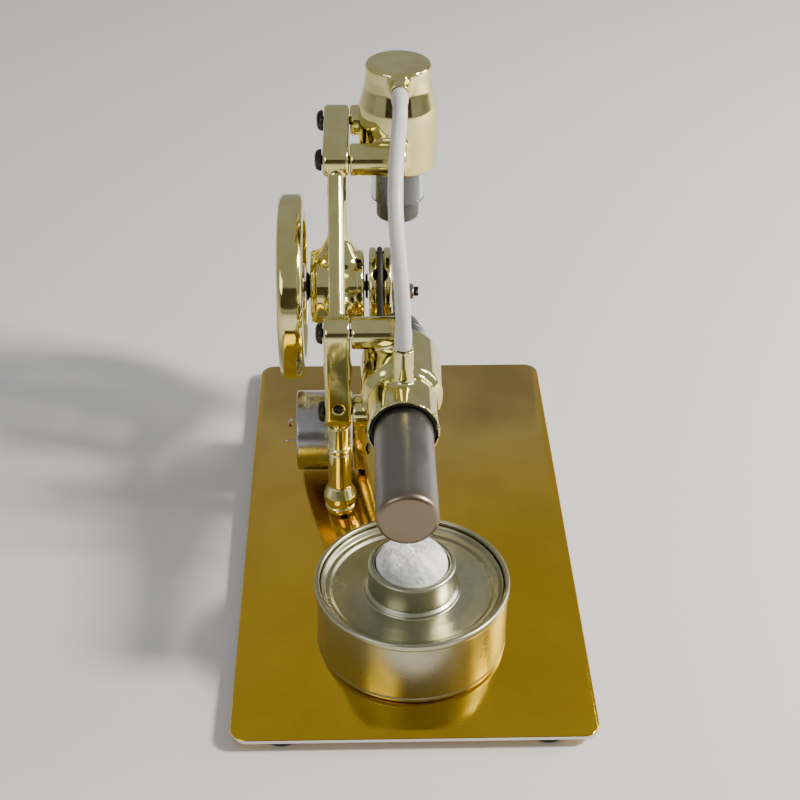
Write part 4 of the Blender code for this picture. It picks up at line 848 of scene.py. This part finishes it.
def make_rods():
    """Flat links with rounded edges, from wrist pin to crank pin, and what holds them on the crank pin."""
    for side in ("hot", "cold"):
        name, wrist = side + "_connecting_rod", centre(side + "_wrist_pin")
        low, high = box(name)
        x, width = (low[0] + high[0]) / 2, high[0] - low[0]
        start, end = np.array([x, wrist[1], wrist[2]]), np.array([x, PIN[1], PIN[2]])
        along = (end - start) / np.linalg.norm(end - start)
        length = np.linalg.norm(end - start)

        def distance(points, start=start, end=end, along=along, length=length, width=width):
            link = bar_distance(points, (start + end) / 2, along, length / 2, 1.3, width, 0.2)
            ends = [rod_distance(points, at, X_AXIS, radius, -width / 2, width / 2, 0.2)
                    for at, radius in ((start, 2.3), (end, 3.1))]
            solid = blend(blend(link, ends[0], 0.8), ends[1], 0.8)
            solid = np.maximum(solid, np.abs(points[:, 0] - start[0]) - width / 2)
            for at, bore in ((start, 1.3), (end, SHAFT_HOLE)):
                solid = without(solid, rod_distance(points, at, X_AXIS, bore, -3, 3), 0.15)
            return solid

        cast(name, distance, 0.22)
    corners = [(2.7, 0.25, 0.1), (2.7, -0.25, 0.1), (SHAFT_HOLE, -0.25), (SHAFT_HOLE, 0.25)]
    turned("pin_washer", corners, centre("pin_washer"), X_AXIS, True, 64)
    make_pin_nut()
    make_pin_screw()


def make_pin_nut():
    """A hexagon nut with its corners turned off and a countersunk thread."""
    at, half = centre("pin_nut"), half_size("pin_nut")[0]
    cone = rounded([(0, half), (2.35, half, 0.1), (2.85, half - 0.4), (2.85, 0.4 - half),
                    (2.35, -half, 0.1), (0, -half)])
    sink = np.array([(0, half + 0.1), (2.2, half + 0.1), (1.6, half - 0.5), (0, half - 0.5)])

    def nut(points):
        away = points - at
        flats = [np.abs(away[:, 1] * math.cos(a) + away[:, 2] * math.sin(a))
                 for a in np.radians((0, 60, 120))]
        solid = np.maximum(turned_distance(points, at, X_AXIS, cone), np.max(flats, axis=0) - 2.38)
        solid = without(solid, turned_distance(points, at, X_AXIS, sink), 0.05)
        return without(solid, rod_distance(points, at, X_AXIS, 1.6, -3, 3, 0.05), 0.05)

    cast("pin_nut", nut, 0.12)


def make_pin_screw():
    """The screw's end, with a slot."""
    at, half = centre("pin_screw"), half_size("pin_screw")[0]
    stem = rounded([(0, half), (1.5, half, 0.25), (1.5, -half, 0.2), (0, -half)])

    def screw(points):
        away = points - at
        lean = math.radians(20)
        turned_side = np.abs(away[:, 1] * math.sin(lean) + away[:, 2] * math.cos(lean))
        slot = np.maximum(turned_side - 0.28, half - 0.7 - away[:, 0])
        return without(turned_distance(points, at, X_AXIS, stem), slot, 0.08)

    cast("pin_screw", screw, 0.13)


# ---------------------------------------------------------------- generator motor and its upright

def make_motor():
    """The pressed case with its boss, the nylon end cap, two wire terminals and two face screws."""
    low, high = box("motor_can")
    at = np.array([low[0], (low[1] + high[1]) / 2, (low[2] + high[2]) / 2])
    radius, length = (high[1] - low[1]) / 2, 17.0
    end = high[0] - low[0]
    corners = [(3, end, 0.3), (3, length, 0.3), (radius, length, 1.3), (radius, 0.5, 0.6),
               (radius - 0.3, 0, 0.3), (radius - SHEET, 0, 0.2), (radius - SHEET, length - SHEET),
               (1.3, length - SHEET), (1.3, end)]
    turned("motor_can", corners, at, X_AXIS, True, 128)
    edge = radius - SHEET - GAP
    corners = [(edge, 1.8), (edge, 0.4, 0.4), (edge - 1.5, 0.1, 0.4), (5.2, 0.3), (5, 0.9), (3.2, 0.9),
               (3, 0.2, 0.2), (1.3, 0.2), (1.3, 1.8)]
    turned("motor_end_cap", corners, at, X_AXIS, True)
    low, high = box("motor_terminal_front")
    wire = (low + high) / 2
    route = [wire + [high[0] - wire[0] - s, 0, 0] for s in np.linspace(0, high[0] - low[0], 16)]
    swept("motor_terminal_front", route, [0.45] * 15 + [0.3], 20, up=Y_AXIS)
    low, high = box("motor_terminal_rear")
    wire = (low + high) / 2
    straight = [wire + [high[0] - wire[0] - s, 0, 0] for s in np.linspace(0, 3.4, 10)]
    turns = np.radians(np.linspace(10, 150, 16))
    hook = [straight[-1] + [-1.4 * math.sin(a), 0, -1.4 * (1 - math.cos(a))] for a in turns]
    swept("motor_terminal_rear", straight + hook, [0.4] * (len(straight) + len(hook)), 20, up=Y_AXIS)
    for name in ("motor_screw_upper", "motor_screw_lower"):
        low, high = box(name)
        seat = np.array([high[0] - 1.1, (low[1] + high[1]) / 2, (low[2] + high[2]) / 2])
        corners = [(0, 1.1), (1.2, 1.0, 0.4), (1.9, 0.4, 0.4), (1.9, 0, 0.1), (1.0, 0), (1.0, -6, 0.2),
                   (0, -6)]
        outline = rounded(corners)

        def distance(points, seat=seat, outline=outline):
            away = np.abs(points - seat)
            cross = np.minimum(np.maximum(away[:, 1] - 0.2, away[:, 2] - 0.95),
                               np.maximum(away[:, 2] - 0.2, away[:, 1] - 0.95))
            cross = np.maximum(cross, 0.45 - (points - seat)[:, 0])
            return without(turned_distance(points, seat, X_AXIS, outline), cross, 0.08)

        cast(name, distance, 0.11)


def make_motor_mount():
    """The upright: a flat bar, round at the top, with edges softened by casting."""
    low, high = box("motor_mount")
    at, half = (low + high) / 2, (high[0] - low[0]) / 2
    motor = centre("motor_can")
    radius = (high[1] - low[1]) / 2
    holes = [(motor[2], 3.3), (motor[2] + 7.4, 1.3), (motor[2] - 7.4, 1.3)]

    def distance(points):
        away = points - at
        over = np.maximum(points[:, 2] - (high[2] - radius), 0)
        out = np.hypot(away[:, 1], over) - radius + 0.8
        up = low[2] + 0.8 - points[:, 2]
        thick = np.abs(away[:, 0]) - half + 0.8
        shape = np.sqrt(sum(np.maximum(part, 0) ** 2 for part in (out, up, thick)))
        solid = shape + np.minimum(np.maximum(np.maximum(out, up), thick), 0) - 0.8
        for z, hole in holes:
            cutter = rod_distance(points, np.array([at[0], motor[1], z]), X_AXIS, hole, -4, 4, 0.1)
            solid = without(solid, cutter, 0.3)
        return solid

    cast("motor_mount", distance, 0.3)


# ---------------------------------------------------------------- air hose

def make_stems():
    """The two thin tubes that the hose is pushed over."""
    for name, axis in (("cold_hose_stem", -Y_AXIS), ("hot_hose_stem", Z_AXIS)):
        turned(name, [(1.2, 4, 0.3), (1.2, -4), (0.6, -4), (0.6, 4, 0.1)], centre(name), axis, True, 48)


def make_hose():
    """Silicone tube pushed over both stems: it swells where a stem fills it, and lies in one open curve."""
    lead = 5.4
    top = np.array([CYLINDER_X, COLD_BOSS_MOUTH, CRANK[2] + COLD_PORT])
    low = np.array([CYLINDER_X, CRANK[1] - HOT_PORT, HOT_BOSS_MOUTH])
    across_y, down = top[1] - lead - low[1], top[2] - low[2] - lead
    angle = np.linspace(0, math.pi / 2, 70)
    bow = 1.9 * np.sin(2 * angle) ** 2
    curve = np.column_stack([CYLINDER_X - bow, top[1] - lead - across_y * np.sin(angle),
                             low[2] + lead + down * np.cos(angle)])
    first = np.linspace(top - [0, 0.2, 0], curve[0], 14)[:-1]
    last = np.linspace(curve[-1], low + [0, 0, 0.2], 14)[1:]
    route = np.vstack([first, curve, last])
    steps = np.linalg.norm(np.diff(route, axis=0), axis=1)
    along = np.concatenate([[0], np.cumsum(steps)])
    from_end = np.minimum(along, along[-1] - along)
    swell = 1 / (1 + np.exp((from_end - 5.2) / 0.5))
    outer = 2.05 + 0.33 * swell - 0.12 * np.exp(-from_end / 0.5)
    swept("air_hose", route, outer, 40, bore=1.35 + 0.1 * swell)


# ---------------------------------------------------------------- spirit burner

def make_burner():
    """A drawn can with a rolled rim, and a pressed lid with a rolled neck."""
    low, high = box("burner_can")
    at = np.array([(low[0] + high[0]) / 2, (low[1] + high[1]) / 2, low[2]])
    height, rim = high[2] - low[2], (high[0] - low[0]) / 2
    outer, wall = rim - 0.5, SHEET
    turned("burner_can", [(0, wall), (outer - wall, wall, 1.2), (outer - wall, height - 2.2, 0.6),
                          (outer - wall - 0.1, height, 0.7), (rim, height, 0.8), (rim, height - 1.9, 0.7),
                          (outer, height - 2.3, 0.4), (outer, 2.2, 0.8), (outer + 0.15, 1.7, 0.4),
                          (outer + 0.15, 1.2, 0.4), (outer - 0.6, 0, 0.7), (0, 0)], at, Z_AXIS, steps=192)
    top, neck = height - 3.4, 11.5
    edge = outer - wall - GAP
    neck_top = box("burner_lid")[1][2] - at[2]
    corners = [(neck - 1.6, neck_top - 0.2, 0.4), (neck - 0.9, neck_top, 0.5),
               (neck, neck_top - 0.4, 0.7), (neck, top + 1.5, 0.9), (neck + 0.9, top + 0.7, 0.5),
               (neck + 1.3, top, 0.5), (16.6, top - 0.12, 2), (19.6, top, 2), (21.0, top + 0.1, 1),
               (21.9, top + 0.75, 0.6), (edge - 1.2, top + 0.85, 0.6), (edge - 0.5, top + 2.2, 0.5),
               (edge, top + 2.2, 0.2), (edge, top), (18, top - 0.5), (17, top - 0.8),
               (neck - 1.5, top - 0.8), (neck - 1.6, neck_top - 1.2, 0.3)]
    turned("burner_lid", corners, at, Z_AXIS, True, 192)


def fluff(directions, seed, octaves=5):
    """Smooth random heights over a sphere: waves in random directions, each octave finer and lower."""
    random = np.random.default_rng(seed)
    height = np.zeros(len(directions))
    for octave in range(octaves):
        scale = 3.0 * 1.9 ** octave
        for _ in range(9):
            wave = random.normal(size=3)
            wave *= scale / np.linalg.norm(wave)
            height += 0.55 ** octave / 3 * np.sin(directions @ wave + random.uniform(0, 2 * math.pi))
    return height


def make_wick():
    """A ball of cotton wool that fills the neck, with loose fibres standing off it."""
    low, high = box("wick")
    at, radius = (low + high) / 2, (high[0] - low[0]) / 2 - 0.6
    collar = box("burner_lid")[1][2]
    rise = high[2] - collar
    rows, steps = 90, 160
    angle = 2 * math.pi * np.arange(steps) / steps
    polar = np.linspace(0.02, math.pi / 2, rows)
    dome = [(math.sin(p) ** 0.8, math.cos(p)) for p in polar] + [(1.0, -0.4), (1.0, -3.4)]
    heights = np.array([h for _, h in dome])
    radii = np.array([r for r, _ in dome])
    z = np.where(heights > 0, collar - 0.6 + (rise - 0.2) * heights, collar - 0.6 + heights * 3)
    points = np.stack([np.outer(radii, np.cos(angle)) * radius + at[0],
                       np.outer(radii, np.sin(angle)) * radius + at[1], np.repeat(z[:, None], steps, 1)], -1)
    place = points.reshape(-1, 3)
    out = place - [at[0], at[1], collar - 2]
    out /= np.linalg.norm(out, axis=1)[:, None]
    above = np.clip((place[:, 2] - collar + 1.2) / 2, 0, 1)
    lump = fluff(out, 5) * 0.5 + fluff(out * 4, 9) * 0.1 - 0.6
    place = place + out * (lump * above)[:, None]
    faces = grid_faces(len(dome), steps, False, True)[:, ::-1].tolist()
    faces.append(list(range(steps)))
    base = (len(dome) - 1) * steps
    faces.append(list(range(base, base + steps))[::-1])
    new_piece("look_wick", place, faces, "wick", 180)
    make_fibres(at, radius, collar, rise)


def make_fibres(at, radius, collar, rise):
    """Short curled fibres on the wick, each a three-sided tube of a few faces."""
    random = np.random.default_rng(11)
    points, faces = [], []
    for _ in range(2600):
        turn, tilt = random.uniform(0, 2 * math.pi), math.acos(random.uniform(0.05, 1))
        out = np.array([math.sin(tilt) * math.cos(turn), math.sin(tilt) * math.sin(turn), math.cos(tilt)])
        root = np.array([at[0], at[1], collar - 0.8]) + out * [radius, radius, rise - 0.6] * 0.93
        side = np.cross(out, random.normal(size=3))
        side /= np.linalg.norm(side)
        other = np.cross(out, side)
        length, bend = random.uniform(0.8, 2.6), random.uniform(0.6, 1.3)
        start = len(points)
        for step in range(5):
            share = step / 4
            middle = root + out * (0.35 * math.sin(share * math.pi)) + side * length * (share - 0.5) \
                + other * bend * math.sin(share * 3) * 0.4
            for corner in range(3):
                a = 2 * math.pi * corner / 3
                points.append(middle + 0.04 * (math.cos(a) * out + math.sin(a) * other))
        for step in range(4):
            for corner in range(3):
                a, b = start + 3 * step + corner, start + 3 * step + (corner + 1) % 3
                faces.append([a, b, b + 3, a + 3])
        faces += [[start + 2, start + 1, start], [start + 12, start + 13, start + 14]]
    points = np.array(points)
    points[:, 2] = np.minimum(points[:, 2], collar + rise - 0.05)
    new_piece("look_wick_fibres", points, faces, "wick", 180)


# ---------------------------------------------------------------- the rest, stage, light and camera

def copy_the_other_nodes():
    """Every CAD node that has no piece of its own gets a merged, smooth-shaded copy in its real material."""
    covered = {n for piece in bpy.data.objects for n in piece.get("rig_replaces", [])}
    for name, part in frame["nodes"].items():
        if name in covered:
            continue
        mesh = part.data.copy()
        work = bmesh.new()
        work.from_mesh(mesh)
        bmesh.ops.remove_doubles(work, verts=work.verts, dist=0.000001)
        work.to_mesh(mesh)
        work.free()
        mesh.shade_smooth()
        mesh.set_sharp_from_angle(angle=math.radians(35))
        piece = bpy.data.objects.new("look_" + name, mesh)
        bpy.context.scene.collection.objects.link(piece)
        dress(piece, name)


def studio_sheet(name, stuff, colour, rough, corners):
    """A flat sheet of a studio material, with its four corners in metres."""
    made, _, shader, _ = finish(stuff)
    shader.inputs["Base Color"].default_value = linear(colour)
    shader.inputs["Roughness"].default_value = rough
    mesh = bpy.data.meshes.new(name)
    mesh.from_pydata(corners, [], [(0, 1, 2, 3)])
    mesh.materials.append(made)
    sheet = bpy.data.objects.new(name, mesh)
    bpy.context.scene.collection.objects.link(sheet)
    return sheet


def area(name, at, aim, size, power, colour="#FFFFFF"):
    """A soft light, of a size in metres and a power in watts, aimed at a place."""
    light = bpy.data.lights.new(name, "AREA")
    light.shape = "RECTANGLE"
    light.size, light.size_y = size
    light.energy = power
    light.color = linear(colour)[:3]
    lamp = bpy.data.objects.new(name, light)
    lamp.location = at
    lamp.rotation_euler = (Vector(aim) - Vector(at)).to_track_quat("-Z", "Y").to_euler()
    bpy.context.scene.collection.objects.link(lamp)


def make_light():
    """Pale paper, an even sky, a warm key from the right, and a dark sheet for polished metal to mirror."""
    floor = studio_sheet("floor", "pale_paper", "#DEDCDA", 0.75,
                         [(-4, -4, 0), (4, -4, 0), (4, 4, 0), (-4, 4, 0)])
    world = bpy.data.worlds.new("studio")
    bpy.context.scene.world = world
    world.use_nodes = True
    back = world.node_tree.nodes["Background"]
    back.inputs["Color"].default_value = linear("#D6D8DA")
    back.inputs["Strength"].default_value = 0.52
    area("key", (0.66, -0.1, 0.56), (0, 0, 0.04), (0.14, 0.14), 12, "#FFF9F0")
    area("window", (0.7, 0.2, 0.3), (0, 0, 0.06), (0.3, 0.4), 3)
    area("fill", (-0.5, -0.6, 0.5), (0, 0, 0.05), (0.5, 0.3), 1.6)
    panel = studio_sheet("dark_room", "dark_cloth", "#3B3628", 0.5,
                         [(-0.8, -0.95, 0.1), (0.8, -0.95, 0.1), (0.8, -0.95, 0.6), (-0.8, -0.95, 0.6)])


def make_camera():
    """A long lens nearly half a metre away, looking down on the burner's end."""
    right, up = Vector((0.99964, -0.02471, 0.00584)), Vector((0.00933, 0.57158, 0.82049))
    forward = Vector((0.02361, 0.82017, -0.57163))
    data = bpy.data.cameras.new("camera")
    data.sensor_width = 36
    data.lens = 68.43
    data.clip_start = 0.01
    camera = bpy.data.objects.new("camera", data)
    turn = Matrix((right, up, -forward)).transposed()
    camera.matrix_world = Matrix.Translation(Vector((-12.218, -350.040, 292.56)) * MM) @ turn.to_4x4()
    bpy.context.scene.collection.objects.link(camera)
    bpy.context.scene.camera = camera


make_camera()
make_base()
make_post()
make_frame()
make_cold_casting()
make_hot_casting()
make_cylinder_screws()
make_pistons_and_glass()
make_hot_tube()
make_flywheel()
make_crank_pulley()
make_shaft_parts()
make_belt()
make_rods()
make_motor()
make_motor_mount()
make_stems()
make_hose()
make_burner()
make_wick()
copy_the_other_nodes()
make_light()
